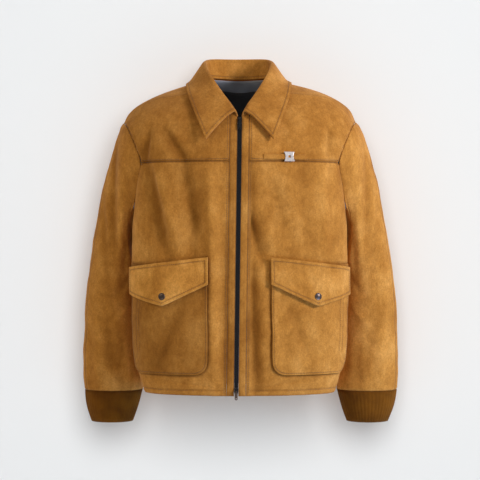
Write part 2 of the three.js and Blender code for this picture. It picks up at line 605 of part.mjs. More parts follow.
// Panels of the body and the sleeves
const garment = new Garment();
const SIDES = { left: 1, right: -1 };
for (const [name, side] of Object.entries(SIDES)) {
  const mirrored = side < 0;
  const frontAt = (heights) => (i, j) => frontColumn(side, i / PANEL_COLUMNS, heights[j]);
  garment.patch(`front_${name}`, PANEL_COLUMNS, lowerHeights.length - 1, frontAt(lowerHeights), mirrored);
  garment.patch(`front_${name}`, PANEL_COLUMNS, armholeHeights.length - 1, frontAt(armholeHeights), mirrored);
  garment.patch(`front_yoke_${name}`, PANEL_COLUMNS, YOKE_ROWS,
    (i, j) => yokePoint(side, i / PANEL_COLUMNS, j / YOKE_ROWS), mirrored);
  garment.patch(`front_band_${name}`, 1, BAND_ROWS,
    (i, j) => bandPoint(side, i ? BAND_EDGE_X : ZIP_EDGE_X, j), mirrored);

  const backAt = (heights) => (i, j) => backColumn(side, i / PANEL_COLUMNS, heights[j]);
  garment.patch('back_panel', PANEL_COLUMNS, lowerHeights.length - 1, backAt(lowerHeights), !mirrored);
  garment.patch('back_panel', PANEL_COLUMNS, armholeHeights.length - 1, backAt(armholeHeights), !mirrored);
  garment.patch('back_panel', PANEL_COLUMNS, BACK_UPPER_ROWS,
    (i, j) => upperBackPoint(side, i / PANEL_COLUMNS, j / BACK_UPPER_ROWS), !mirrored);
  const neckColumns = PANEL_COLUMNS * NECK_SHARE;
  garment.patch('back_panel', PANEL_COLUMNS - neckColumns, STRIP_ROWS, (i, j) => {
    const u = (i + neckColumns) / PANEL_COLUMNS;
    return frontShoulder(side, u, lerp(seamRound(u), 90, j / STRIP_ROWS));
  }, mirrored);

  for (const half of ['front', 'back']) {
    const edge = armholeEdge(side, half === 'front');
    const turn = half === 'front' ? 1 : -1;
    edge.forEach((point) => garment.onArmhole.add(garment.pointIndex(point)));
    garment.patch(`sleeve_${half}_${name}`, edge.length - 1, sleeveRows.length, (i, j) => {
      if (j === 0) return edge[i];
      const ring = sleeveRows[j - 1];
      const share = i / (edge.length - 1);
      const degrees = turn > 0 ? lerp(ring.turn, 180, share) : lerp(ring.turn, -180, share);
      const point = sleevePoint(side, degrees, j - 1).lerp(edge[i], ring.share);
      return clearOfBody(point, side, ring.clearance);
    }, mirrored === (half === 'front'));
  }
}
garment.finish();

const suede = new THREE.MeshStandardMaterial({ color: 0xb07637, roughness: 0.95, metalness: 0 });
const paleSuede = new THREE.MeshStandardMaterial({ color: 0xc18743, roughness: 0.95, metalness: 0 });
const knit = new THREE.MeshStandardMaterial({ color: 0x6e3f10, roughness: 0.9, metalness: 0 });
const liningCloth = new THREE.MeshStandardMaterial({ color: 0x343335, roughness: 0.5, metalness: 0 });
const labelCloth = new THREE.MeshStandardMaterial({ color: 0x1b1c1e, roughness: 0.6, metalness: 0 });
const zipTape = new THREE.MeshStandardMaterial({ color: 0x16171a, roughness: 0.85, metalness: 0 });
const darkMetal = new THREE.MeshStandardMaterial({ color: 0x3a3a3c, roughness: 0.4, metalness: 1 });
const brightMetal = new THREE.MeshStandardMaterial({ color: 0xc9c9cb, roughness: 0.25, metalness: 1 });

const group = new THREE.Group();
function add(name, geometry, material) {
  const mesh = new THREE.Mesh(geometry, material);
  mesh.name = name;
  group.add(mesh);
}

for (const panel of garment.panels.keys()) {
  add(panel, garment.wall(panel, SUEDE), panel.startsWith('front_band') ? paleSuede : suede);
}

// Ribbed cuffs: ribs raised on the outside over a plain inside
function cuffGeometry(side) {
  const columns = CUFF_RIBS * 2;
  const [top, bottom] = [cuffRows[0].z, cuffRows[cuffRows.length - 1].z];
  const ring = (depth, ribbed) => Array.from({ length: columns }, (_, i) => cuffRows.map((row) => {
    const angle = (i / columns) * Math.PI * 2;
    const lift = (ribbed && i % 2 ? RIB_RISE : 0) - depth;
    const outwards = (1 + Math.cos(angle)) / 2;
    const taper = (row.z - bottom) / (top - bottom);
    const fullness = side > 0 ? LEFT_SLEEVE_FULLNESS * outwards * taper : 0;
    const x = (row.xOut + row.xIn) / 2 + ((row.xOut - row.xIn) / 2 + lift) * Math.cos(angle);
    return vector(side * (x + fullness), row.yMid + (row.yHalf + lift) * Math.sin(angle), row.z);
  }));
  return gridWall(ring(RIB_WALL, false), ring(RIB_RISE, true), true);
}

// The nearest place on the panels round the shoulders, with its outward direction
const shoulderFaces = [...garment.panels.entries()]
  .filter(([panel]) => /^(back_panel|front_yoke|front_band)/.test(panel))
  .flatMap(([, faces]) => faces)
  .filter((face) => face.some((i) => garment.points[i].z > YOKE_Z));
function onShoulder(point) {
  const triangle = new THREE.Triangle();
  const nearest = vector(0, 0, 0);
  let best = { distance: Infinity };
  shoulderFaces.forEach((face) => {
    triangle.set(...face.map((i) => garment.points[i]));
    triangle.closestPointToPoint(point, nearest);
    const distance = nearest.distanceTo(point);
    if (distance < best.distance - 1e-6) best = { distance, point: nearest.clone(), face };
  });
  const out = best.face.reduce((sum, i) => sum.add(garment.normals[i]), vector(0, 0, 0)).normalize();
  return { point: best.point, out };
}

function liftedClear(point, clearance) {
  const spot = onShoulder(point);
  const height = point.clone().sub(spot.point).dot(spot.out);
  return height >= clearance ? point : point.clone().addScaledVector(spot.out, clearance - height);
}

// The neckline from the centre back, round the side, to the front edge of the band
function necklineCurve(side) {
  const steps = [0, 0.25, 0.5, 0.75, 1];
  const back = steps.map((s) => backNeckPoint(side, s * NECK_SHARE));
  const shoulder = [0.5, 1].map((s) =>
    frontShoulder(side, NECK_SHARE, lerp(90, SHOULDER_SEAM_AT_NECK, s)));
  const front = [0.75, 0.5, 0.25, 0].map((s) => frontNeckPoint(side, s * NECK_SHARE));
  const end = rowVector({ ...frontNeckRows[0], x: frontNeckRows[0].x + 1.5 }, side);
  return new THREE.CatmullRomCurve3([...back, ...shoulder, ...front, end]);
}

// The collar: a stand up from the neckline, a roll, and a leaf that lies on the shoulders
function collarProfile(side, along) {
  const at = (column) => reader(collarRows, 'along', column)(along);
  const base = necklineCurve(side).getPointAt(along);
  const shift = COLLAR_SHIFT * (1 - along);
  const roll = vector(side * at('rollX') + shift, at('rollY'), at('rollZ'));
  const edge = vector(side * at('edgeX') + shift, at('edgeY'), at('edgeZ'));
  const outwards = vector(edge.x - roll.x, edge.y - roll.y, 0).normalize();
  base.addScaledVector(outwards, -COLLAR_WALL / 2).add(vector(0, 0, COLLAR_SEAT));
  const stand = roll.clone().sub(base);
  const height = Math.max(COLLAR_ROLL, stand.length());
  const under = roll.clone().addScaledVector(stand.normalize(), -Math.min(COLLAR_ROLL, height / 2));
  const over = roll.clone().addScaledVector(outwards, COLLAR_ROLL).add(vector(0, 0, 1));
  const past = over.clone().addScaledVector(outwards, COLLAR_ROLL * 0.9).add(vector(0, 0, -COLLAR_ROLL));
  const curve = new THREE.CatmullRomCurve3([
    base, base.clone().lerp(under, 0.5), under, roll, over, past,
    past.clone().lerp(edge, 0.35).addScaledVector(outwards, 1.5),
    past.clone().lerp(edge, 0.7).addScaledVector(outwards, 1.5), edge,
  ]);
  return Array.from({ length: COLLAR_COLUMNS }, (_, j) => curve.getPoint(j / (COLLAR_COLUMNS - 1)));
}

function collarGeometry() {
  const half = COLLAR_HALF_STATIONS;
  const stations = Array.from({ length: 2 * half + 1 }, (_, i) => (i - half) / half);
  const face = stations.map((s) => collarProfile(Math.sign(s) || 1, Math.abs(s)).map((point, j) =>
    (j < COLLAR_LEAF_FROM ? point : liftedClear(point, COLLAR_WALL + COLLAR_CLEARANCE))));
  const normal = (i, j) => {
    const ahead = face[Math.min(i + 1, face.length - 1)][j].clone().sub(face[Math.max(i - 1, 0)][j]);
    const row = face[i];
    const across = row[Math.min(j + 1, row.length - 1)].clone().sub(row[Math.max(j - 1, 0)]);
    return ahead.cross(across).normalize();
  };
  const back = face.map((row, i) => row.map((point, j) =>
    point.clone().addScaledVector(normal(i, j), COLLAR_WALL)));
  return gridWall(back, face);
}

// What lies on the front is placed round the body from a front edge, and moved out from it
function roundFront(side, startX, distance, z) {
  let left = distance;
  let angle = frontAngleAt(startX, z);
  const step = (SIDE_SEAM_ANGLE - angle) / WALK_STEPS;
  let here = bodyPoint(side, angle, z);
  while (left > 0 && angle < SIDE_SEAM_ANGLE) {
    const next = bodyPoint(side, angle + step, z);
    const length = next.distanceTo(here);
    if (length >= left) {
      angle += (step * left) / length;
      break;
    }
    left -= length;
    angle += step;
    here = next;
  }
  const point = bodyPoint(side, angle, z);
  const around = bodyPoint(side, angle + 0.03, z).sub(bodyPoint(side, angle - 0.03, z));
  const upwards = bodyPoint(side, angle, z + 3).sub(bodyPoint(side, angle, z - 3));
  return { point, out: around.cross(upwards).multiplyScalar(side).normalize() };
}

const raised = ({ point, out }, height) => point.clone().addScaledVector(out, height);
const hump = (share, power) => Math.sin(Math.PI * share) ** power;
const pocketFullness = (across, down) =>
  POCKET_FULLNESS * hump(clamp(across, 0, 1), 0.8) * hump(clamp(down, 0.1, 1), 0.7);

function pocketGeometry(side) {
  const place = (i, j) => {
    const across = i / POCKET_COLUMNS;
    const z = lerp(POCKET_TOP_Z, POCKET_BOTTOM_Z, pocketDepths[j]);
    const above = Math.max(0, POCKET_CORNER - (z - POCKET_BOTTOM_Z));
    const drawIn = POCKET_CORNER - Math.sqrt(POCKET_CORNER ** 2 - above ** 2);
    const inset = Math.min(drawIn, POCKET_CORNER * 0.8);
    const distance = lerp(inset, POCKET_WIDTH - inset, across);
    const spot = roundFront(side, POCKET_FRONT_X, distance, z);
    return { spot, lift: pocketFullness(across, pocketDepths[j]) };
  };
  const layer = (height) => Array.from({ length: POCKET_COLUMNS + 1 }, (_, i) =>
    pocketDepths.map((_, j) => raised(place(i, j).spot, place(i, j).lift + height)));
  return gridWall(layer(PANEL_GAP), layer(PANEL_GAP + SUEDE));
}

function flapSpot(side, across, down) {
  const top = FLAP_TOP_Z - FLAP_SIDE_DROP * across;
  const point = 1 - Math.abs(across - 0.5) * 2;
  const height = lerp(FLAP_END_HEIGHT, FLAP_POINT_HEIGHT, point);
  const z = top - height * down;
  const spot = roundFront(side, FLAP_FRONT_X, across * FLAP_WIDTH, z);
  const pocketDown = clamp((POCKET_TOP_Z - z) / (POCKET_TOP_Z - POCKET_BOTTOM_Z), 0, 1);
  const lift = pocketFullness(across, pocketDown);
  return { spot, lift: lift + PANEL_GAP + SUEDE + FLAP_CLEARANCE };
}

function flapGeometry(side) {
  const layer = (height) => Array.from({ length: POCKET_COLUMNS + 1 }, (_, i) =>
    Array.from({ length: FLAP_ROWS + 1 }, (_, j) => {
      const { spot, lift } = flapSpot(side, i / POCKET_COLUMNS, j / FLAP_ROWS);
      return raised(spot, lift + height);
    }));
  return gridWall(layer(0), layer(SUEDE));
}

function snapGeometry(side) {
  const profile = snapRows.map((row) => new THREE.Vector2(row.radius, row.height));
  const geometry = new THREE.LatheGeometry(profile, SNAP_SIDES);
  const { spot, lift } = flapSpot(side, 0.5, 1 - SNAP_ABOVE_POINT / FLAP_POINT_HEIGHT);
  geometry.applyQuaternion(new THREE.Quaternion().setFromUnitVectors(vector(0, 1, 0), spot.out));
  const seat = raised(spot, lift + SUEDE + SNAP_SEAT);
  geometry.translate(seat.x, seat.y, seat.z);
  return geometry;
}

// Solids from three.js shapes, joined and cut
function solid(geometry) {
  const bare = geometry.clone();
  bare.deleteAttribute('normal');
  bare.deleteAttribute('uv');
  const merged = mergeVertices(bare, 1e-4);
  return new wasm.Manifold(new wasm.Mesh({
    numProp: 3,
    vertProperties: Float32Array.from(merged.getAttribute('position').array),
    triVerts: Uint32Array.from(merged.getIndex().array),
  }));
}

function fromSolid(body) {
  const mesh = body.getMesh();
  return indexedGeometry([...mesh.vertProperties], [...mesh.triVerts]);
}

const extruded = (shape, depth) =>
  new THREE.ExtrudeGeometry(shape, { depth, bevelEnabled: false, curveSegments: 5 });
const boxSolid = (sx, sy, sz, x, y, z) => solid(new THREE.BoxGeometry(sx, sy, sz).translate(x, y, z));
const barSolid = (radius, length, x, y, z, sides = 14) =>
  solid(new THREE.CylinderGeometry(radius, radius, length, sides).rotateZ(Math.PI / 2).translate(x, y, z));

// Sets a shape made on the front of a flat zip onto the zip at a height
function onZip(geometry, z) {
  const { origin, up, out } = zipFrame(z);
  const turn = new THREE.Matrix4().makeBasis(vector(1, 0, 0), out.clone().negate(), up);
  return geometry.applyMatrix4(turn).translate(origin.x, origin.y, origin.z);
}

// Slider: a body astride the zip, with two lugs and a cross-bar that carry the pull's eye
function barDepth(slider) {
  return CHAIN_FRONT + CHAIN_DEPTH / 2 - slider.depth / 2 - EYE_RADIUS - EYE_CLEARANCE;
}

function sliderGeometry(slider) {
  const middle = CHAIN_FRONT + CHAIN_DEPTH / 2;
  const face = middle - slider.depth / 2;
  const shape = new THREE.Shape();
  const half = slider.width / 2;
  const end = slider.length / 2;
  shape.moveTo(-half * SLIDER_TAIL, -end);
  shape.lineTo(half * SLIDER_TAIL, -end);
  shape.quadraticCurveTo(half, -end / 2, half, end * SLIDER_SHOULDER);
  shape.quadraticCurveTo(half, end, half * SLIDER_NOSE, end);
  shape.lineTo(-half * SLIDER_NOSE, end);
  shape.quadraticCurveTo(-half, end, -half, end * SLIDER_SHOULDER);
  shape.quadraticCurveTo(-half, -end / 2, -half * SLIDER_TAIL, -end);
  const body = extruded(shape, slider.depth);
  body.rotateX(Math.PI / 2).translate(0, middle + slider.depth / 2, 0);
  const axis = barDepth(slider);
  const lugAt = EYE_WIDTH / 2 + EYE_CLEARANCE + LUG_THICKNESS / 2;
  const lugDepth = face - axis + BAR_RADIUS + 2 * LUG_ROOT;
  const lugs = [-1, 1].map((s) =>
    boxSolid(LUG_THICKNESS, lugDepth, LUG_LENGTH, s * lugAt, face - lugDepth / 2 + LUG_ROOT, 0));
  const bar = barSolid(BAR_RADIUS, lugAt * 2, 0, axis, 0);
  return onZip(fromSolid(solid(body).add(lugs[0]).add(lugs[1]).add(bar)), slider.z);
}

// Pull tab: an eye round the cross-bar and a plain tab that hangs along the zip
function pullGeometry(slider) {
  const axis = barDepth(slider);
  const eye = barSolid(EYE_RADIUS, EYE_WIDTH, 0, axis, 0, 16);
  const bore = barSolid(BAR_RADIUS + EYE_CLEARANCE, EYE_WIDTH + 2, 0, axis, 0, 16);
  const start = EYE_RADIUS * 0.75;
  const shape = new THREE.Shape();
  const half = PULL_WIDTH / 2;
  const neck = EYE_WIDTH / 2;
  shape.moveTo(-neck, -start);
  shape.lineTo(-neck, -start - PULL_THICKNESS);
  shape.lineTo(-half, -start - 2 * PULL_THICKNESS);
  shape.lineTo(-half, -slider.pull + half);
  shape.absarc(0, -slider.pull + half, half, Math.PI, Math.PI * 2, false);
  shape.lineTo(half, -start - 2 * PULL_THICKNESS);
  shape.lineTo(neck, -start - PULL_THICKNESS);
  shape.lineTo(neck, -start);
  const hole = new THREE.Path();
  hole.absarc(0, -slider.pull + half, PULL_HOLE_RADIUS, 0, Math.PI * 2, true);
  shape.holes.push(hole);
  const tab = extruded(shape, PULL_THICKNESS);
  tab.rotateX(Math.PI / 2).translate(0, axis + PULL_THICKNESS / 2, 0);
  return onZip(fromSolid(solid(tab).add(eye).subtract(bore)), slider.z);
}

// The tape behind a front band, made from the band's points moved in
function tapeGeometry(side) {
  const edges = [TOP_SLIDER.width / 2 + SEAM_GAP, TAPE_EDGE_X];
  const layer = (depth) => edges.map((x) => Array.from({ length: BAND_ROWS + 1 }, (_, row) => {
    const around = bandPoint(side, x + 2, row).sub(bandPoint(side, x - 2, row)).multiplyScalar(side);
    const upwards = bandPoint(side, x, Math.min(row + 1, BAND_ROWS))
      .sub(bandPoint(side, x, Math.max(row - 1, 0)));
    return bandPoint(side, x, row).addScaledVector(around.cross(upwards).normalize(), -depth);
  }));
  return gridWall(layer(SUEDE + TAPE_SEAT), layer(SUEDE + TAPE_SEAT + TAPE));
}

// One strip stands for the closed rows of teeth between the sliders
function chainGeometry() {
  const top = TOP_SLIDER.z - TOP_SLIDER.length / 2 - SEAM_GAP;
  const bottom = BOTTOM_SLIDER.z + BOTTOM_SLIDER.length / 2 + SEAM_GAP;
  const layer = (setBack) => [-1, 1].map((s) => Array.from({ length: CHAIN_ROWS + 1 }, (_, j) => {
    const { origin, out } = zipFrame(lerp(bottom, top, j / CHAIN_ROWS));
    return origin.clone().addScaledVector(out, -setBack).add(vector(s * CHAIN_HALF_WIDTH, 0, 0));
  }));
  return gridWall(layer(CHAIN_FRONT), layer(CHAIN_FRONT + CHAIN_DEPTH));
}

// One of the upper back's own points, moved in
function insideBack(column, row, depth) {
  const side = Math.sign(column) || 1;
  const at = upperBackPoint(side, Math.abs(column) / PANEL_COLUMNS, row / BACK_UPPER_ROWS);
  const k = garment.pointIndex(at);
  return garment.points[k].clone().addScaledVector(garment.normals[k], -depth);
}

// A cloth on the inside of the upper back, over a span of the panel's columns and rows
function backLining({ halfColumns, fromRow, toRow }, from, thickness) {
  const columns = Array.from({ length: 2 * halfColumns + 1 }, (_, i) => i - halfColumns);
  const rows = Array.from({ length: toRow - fromRow + 1 }, (_, j) => fromRow + j);
  const layer = (depth) => columns.map((column) => rows.map((row) => insideBack(column, row, depth)));
  return gridWall(layer(from), layer(from + thickness), false, halfColumns);
}

// Narrow strap along the yoke seam, with a plain waisted metal keeper on it
function yokeSpot(side, x, z) {
  let [low, high] = [0, NECK_SHARE * 2];
  const rowAt = (u) => {
    let [down, up] = [0, 1];
    for (let k = 0; k < 30; k += 1) {
      const v = (down + up) / 2;
      if (yokePoint(side, u, v).z < z) down = v;
      else up = v;
    }
    return (down + up) / 2;
  };
  for (let k = 0; k < 30; k += 1) {
    const u = (low + high) / 2;
    if (Math.abs(yokePoint(side, u, rowAt(u)).x) < x) low = u;
    else high = u;
  }
  return yokePoint(side, low, rowAt(low));
}

// The strap is sewn down at its ends and lifts off the yoke where the keeper passes round it
function strapHeight(x) {
  const away = Math.abs(x - KEEPER.x) - KEEPER.width / 2;
  return lerp(STRAP_SEAT, STRAP_EDGE_SEAT, smoothstep(away, 1, 12));
}

function strapGeometry() {
  const layer = (height) => Array.from({ length: STRAP_COLUMNS + 1 }, (_, i) => {
    const x = lerp(STRAP.fromX, STRAP.toX, i / STRAP_COLUMNS);
    return [STRAP.lowZ, STRAP.highZ].map((z) => {
      const spot = onShoulder(yokeSpot(1, x, z));
      return raised(spot, height + strapHeight(x));
    });
  });
  return gridWall(layer(0), layer(STRAP_THICKNESS));
}

function keeperGeometry() {
  const { point, out } = onShoulder(yokeSpot(1, KEEPER.x, KEEPER.z));
  const shape = new THREE.Shape();
  const [w, h, waist] = [KEEPER.width / 2, KEEPER.height / 2, KEEPER.waist / 2];
  shape.moveTo(-w, -h);
  shape.lineTo(w, -h);
  const inner = w - KEEPER_HOLLOW;
  shape.quadraticCurveTo(inner, -h * 0.4, inner, 0);
  shape.quadraticCurveTo(inner, h * 0.4, w, h);
  shape.lineTo(-w, h);
  shape.quadraticCurveTo(-inner, h * 0.4, -inner, 0);
  shape.quadraticCurveTo(-inner, -h * 0.4, -w, -h);
  const depth = STRAP_THICKNESS + 2 * KEEPER.clearance + 2 * KEEPER.bar;
  const plate = extruded(shape, depth);
  plate.translate(0, 0, -depth / 2);
  const slotHeight = STRAP.highZ - STRAP.lowZ + KEEPER_SLOT_PLAY;
  const passage = boxSolid(KEEPER.width * 2, slotHeight, STRAP_THICKNESS + 2 * KEEPER.clearance, 0, 0, 0);
  const window = boxSolid(waist, h * 0.5, KEEPER.bar * 3, 0, 0, depth / 2);
  const geometry = fromSolid(solid(plate).subtract(passage).subtract(window));
  const across = vector(out.y, -out.x, 0).negate().normalize();
  const basis = new THREE.Matrix4().makeBasis(across, out.clone().cross(across), out);
  geometry.applyMatrix4(basis);
  const seat = point.clone().addScaledVector(out, STRAP_SEAT + STRAP_THICKNESS / 2);
  return geometry.translate(seat.x, seat.y, seat.z);
}

add('cuff_left', cuffGeometry(1), knit);
add('cuff_right', cuffGeometry(-1), knit);
add('collar', collarGeometry(), suede);
for (const [name, side] of Object.entries(SIDES)) {
  add(`pocket_${name}`, pocketGeometry(side), suede);
  add(`pocket_flap_${name}`, flapGeometry(side), suede);
  add(`snap_cap_${name}`, snapGeometry(side), darkMetal);
}

add('neck_lining', backLining(LINING_SPAN, SUEDE + LINING_SEAT, LINING), liningCloth);
add('neck_label', backLining(LABEL_SPAN, SUEDE + LINING + 2 * LINING_SEAT, LINING), labelCloth);

for (const [name, side] of Object.entries(SIDES)) {
  add(`zip_tape_${name}`, tapeGeometry(side), zipTape);
}
add('zip_chain', chainGeometry(), darkMetal);
add('zip_slider_top', sliderGeometry(TOP_SLIDER), darkMetal);
add('zip_slider_bottom', sliderGeometry(BOTTOM_SLIDER), darkMetal);
add('zip_pull_top', pullGeometry(TOP_SLIDER), darkMetal);
add('zip_pull_bottom', pullGeometry(BOTTOM_SLIDER), darkMetal);
add('chest_strap', strapGeometry(), suede);
add('chest_keeper', keeperGeometry(), brightMetal);

export default group;
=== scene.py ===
# %% [markdown]
# # A suede jacket, dressed over its CAD frame
#
# The CAD model gives each cut piece of the jacket as a thin closed wall. Here those walls become
# cloth: they are smoothed, creased by hand, stitched, and given nap, rib, lining and metal. Cloth
# simulation could make the creases too, but a photograph fixes where they lie, so they are placed.

# %% Load the frame
import json
import math

import bmesh
import bpy
import numpy as np
from mathutils import Matrix, Vector, kdtree, noise
from mathutils.bvhtree import BVHTree

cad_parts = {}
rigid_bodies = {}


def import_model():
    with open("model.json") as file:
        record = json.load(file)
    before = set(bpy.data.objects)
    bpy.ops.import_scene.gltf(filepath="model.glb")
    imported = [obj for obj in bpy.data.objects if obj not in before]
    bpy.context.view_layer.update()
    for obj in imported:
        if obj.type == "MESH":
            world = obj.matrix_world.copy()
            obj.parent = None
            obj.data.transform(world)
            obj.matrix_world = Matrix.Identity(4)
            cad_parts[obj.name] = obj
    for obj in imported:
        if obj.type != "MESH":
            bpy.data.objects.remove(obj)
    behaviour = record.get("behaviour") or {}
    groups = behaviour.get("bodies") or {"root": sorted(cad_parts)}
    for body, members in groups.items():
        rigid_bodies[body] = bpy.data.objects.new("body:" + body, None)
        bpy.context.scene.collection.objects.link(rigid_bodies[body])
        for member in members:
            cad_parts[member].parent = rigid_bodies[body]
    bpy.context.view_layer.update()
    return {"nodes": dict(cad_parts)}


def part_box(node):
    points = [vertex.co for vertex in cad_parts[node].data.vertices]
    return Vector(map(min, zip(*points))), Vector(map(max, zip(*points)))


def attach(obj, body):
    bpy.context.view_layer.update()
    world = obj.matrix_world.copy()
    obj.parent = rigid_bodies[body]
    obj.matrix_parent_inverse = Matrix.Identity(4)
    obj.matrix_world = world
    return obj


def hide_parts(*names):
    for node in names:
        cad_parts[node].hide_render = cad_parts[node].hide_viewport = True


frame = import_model()
nodes = frame["nodes"]
SIDES = {"left": 1, "right": -1}
HEM_Z = -0.647
YOKE_Z = -0.165
CUFF_Z = -0.651
SLEEVE_TOP_Z = -0.1
BODY_AXIS = Vector((0, -0.05, 0))
# A point inside the chest, which the body's cloth faces away from
CHEST = Vector((0, -0.02, -0.12))
# The sleeve's axis: where it starts, and how far it leans by the cuff
SLEEVE_X, SLEEVE_LEAN_X = 0.2395, 0.036
SLEEVE_Y, SLEEVE_LEAN_Y = 0.012, 0.026
# A length that counts as none, and the gap that is closed between doubled points
TINY, WELD = 1e-6, 2e-6

# %% [markdown]
# ## Materials
#
# Suede is the flesh side of a hide. Its nap lies this way and that, so the colour wanders in soft
# patches, and it scatters light at grazing angles, which Sheen gives. Every pattern reads Object
# coordinates in metres, so it keeps its real scale and stays put on the cloth.

# %% Helpers for node materials
def new_material(name):
    material = bpy.data.materials.new(name)
    material.use_nodes = True
    tree = material.node_tree
    shader = tree.nodes["Principled BSDF"]
    return material, tree, shader


def texture_space(tree, scale=(1, 1, 1)):
    coordinates = tree.nodes.new("ShaderNodeTexCoord")
    mapping = tree.nodes.new("ShaderNodeMapping")
    mapping.inputs["Scale"].default_value = scale
    tree.links.new(coordinates.outputs["Object"], mapping.inputs["Vector"])
    return mapping.outputs["Vector"]


def noise_node(tree, space, scale, detail, roughness):
    node = tree.nodes.new("ShaderNodeTexNoise")
    node.inputs["Scale"].default_value = scale
    node.inputs["Detail"].default_value = detail
    node.inputs["Roughness"].default_value = roughness
    tree.links.new(space, node.inputs["Vector"])
    return node.outputs["Fac"]


def ramp(tree, value, stops):
    node = tree.nodes.new("ShaderNodeValToRGB")
    elements = node.color_ramp.elements
    while len(elements) < len(stops):
        elements.new(0.5)
    for element, (place, colour) in zip(elements, stops):
        element.position = place
        element.color = (*colour, 1)
    tree.links.new(value, node.inputs["Fac"])
    return node.outputs["Color"]


# Where a Mix node keeps its sockets for colours
MIX_FIRST, MIX_SECOND, MIX_RESULT = 6, 7, 2


def multiplied(tree, share, colour, tone):
    """A colour times a tone; a share below 1 makes the tone weaker."""
    node = tree.nodes.new("ShaderNodeMix")
    node.data_type = "RGBA"
    node.blend_type = "MULTIPLY"
    node.inputs["Factor"].default_value = share
    tree.links.new(colour, node.inputs[MIX_FIRST])
    tree.links.new(tone, node.inputs[MIX_SECOND])
    return node.outputs[MIX_RESULT]


def attribute_node(tree, name):
    """A value that the mesh itself holds at each of its points."""
    node = tree.nodes.new("ShaderNodeAttribute")
    node.attribute_name = name
    return node.outputs["Fac"]


def bump(tree, shader, height, distance, strength, before=None):
    node = tree.nodes.new("ShaderNodeBump")
    node.inputs["Distance"].default_value = distance
    node.inputs["Strength"].default_value = strength
    tree.links.new(height, node.inputs["Height"])
    if before is not None:
        tree.links.new(before, node.inputs["Normal"])
    tree.links.new(node.outputs["Normal"], shader.inputs["Normal"])
    return node.outputs["Normal"]


# Below this level the sRGB curve is a straight line, with this divisor
SRGB_KNEE, SRGB_DIVISOR = 10, 3294


def linear(red, green, blue):
    """An sRGB colour, 0 to 255, as the linear one that a shader takes."""
    return tuple(((v / 255 + 0.055) / 1.055) ** 2.4 if v > SRGB_KNEE else v / SRGB_DIVISOR
                 for v in (red, green, blue))


# %% Suede and its cut edges
def suede_material(name, dark, middle, light):
    material, tree, shader = new_material(name)
    space = texture_space(tree)
    patches = noise_node(tree, texture_space(tree, (1.2, 1.2, 0.9)), scale=15, detail=5, roughness=0.62)
    colour = ramp(tree, patches, [(0.30, dark), (0.5, middle), (0.70, light)])
    brushed = noise_node(tree, texture_space(tree, (1.5, 1.5, 1.0)), scale=70, detail=5, roughness=0.65)
    brushed_tone = ramp(tree, brushed, [(0.34, (0.88, 0.86, 0.83)), (0.66, (1.10, 1.11, 1.13))])
    colour = multiplied(tree, 1.0, colour, brushed_tone)
    nap = noise_node(tree, space, scale=300, detail=5, roughness=0.72)
    nap_tone = ramp(tree, nap, [(0.32, (0.78, 0.75, 0.70)), (0.68, (1.19, 1.21, 1.24))])
    colour = multiplied(tree, 0.8, colour, nap_tone)
    fibre = noise_node(tree, space, scale=1100, detail=3, roughness=0.7)
    fibre_tone = ramp(tree, fibre, [(0.3, (0.84, 0.84, 0.84)), (0.7, (1.14, 1.14, 1.14))])
    colour = multiplied(tree, 0.7, colour, fibre_tone)
    # Painted shade in the crease troughs and painted highlight on the ridges, from the fold attribute; it
    # also holds each piece's nap tone, partly painted light
    fold_stops = [(0.0, (0.58, 0.52, 0.38)), (0.5, (1, 1, 1)), (1.0, (1.36, 1.46, 1.62))]
    painted_fold_light_and_nap_tone = ramp(tree, attribute_node(tree, "fold"), fold_stops)
    colour = multiplied(tree, 1.0, colour, painted_fold_light_and_nap_tone)
    # Painted shade along the seam grooves, the sunk stitch rows and round each piece sewn on top, from the
    # seam attribute
    painted_seam_shade = ramp(tree, attribute_node(tree, "seam"), [(0.0, (1, 1, 1)), (1.0, (0.27, 0.20, 0.14))])
    colour = multiplied(tree, 1.0, colour, painted_seam_shade)
    tree.links.new(colour, shader.inputs["Base Color"])
    shader.inputs["Roughness"].default_value = 0.96
    shader.inputs["Specular IOR Level"].default_value = 0.10
    shader.inputs["Sheen Weight"].default_value = 0.14
    shader.inputs["Sheen Roughness"].default_value = 0.5
    shader.inputs["Sheen Tint"].default_value = (1.0, 0.70, 0.40, 1)
    coarse = bump(tree, shader, nap, distance=0.0011, strength=0.6)
    bump(tree, shader, fibre, distance=0.0004, strength=0.6, before=coarse)
    return material


suede = suede_material("tan_suede", linear(159, 101, 36), linear(180, 120, 49), linear(200, 140, 66))
suede_edge = suede_material("suede_cut_edge", linear(150, 97, 42), linear(168, 112, 52),
                            linear(184, 128, 64))
print("suede:", suede.name, suede_edge.name)


# %% Thread, tape and metal
def plain_material(name, colour, roughness, metallic=0.0, grain=700, depth=0.0001, sheen=0.0, shine=0.5):
    material, tree, shader = new_material(name)
    space = texture_space(tree)
    wear = noise_node(tree, space, scale=grain, detail=3, roughness=0.6)
    tone = ramp(tree, wear, [(0.3, tuple(0.8 * v for v in colour)), (0.7, tuple(1.2 * v for v in colour))])
    tree.links.new(tone, shader.inputs["Base Color"])
    shader.inputs["Roughness"].default_value = roughness
    shader.inputs["Metallic"].default_value = metallic
    shader.inputs["Sheen Weight"].default_value = sheen
    shader.inputs["Specular IOR Level"].default_value = shine
    bump(tree, shader, wear, distance=depth, strength=0.5)
    return material


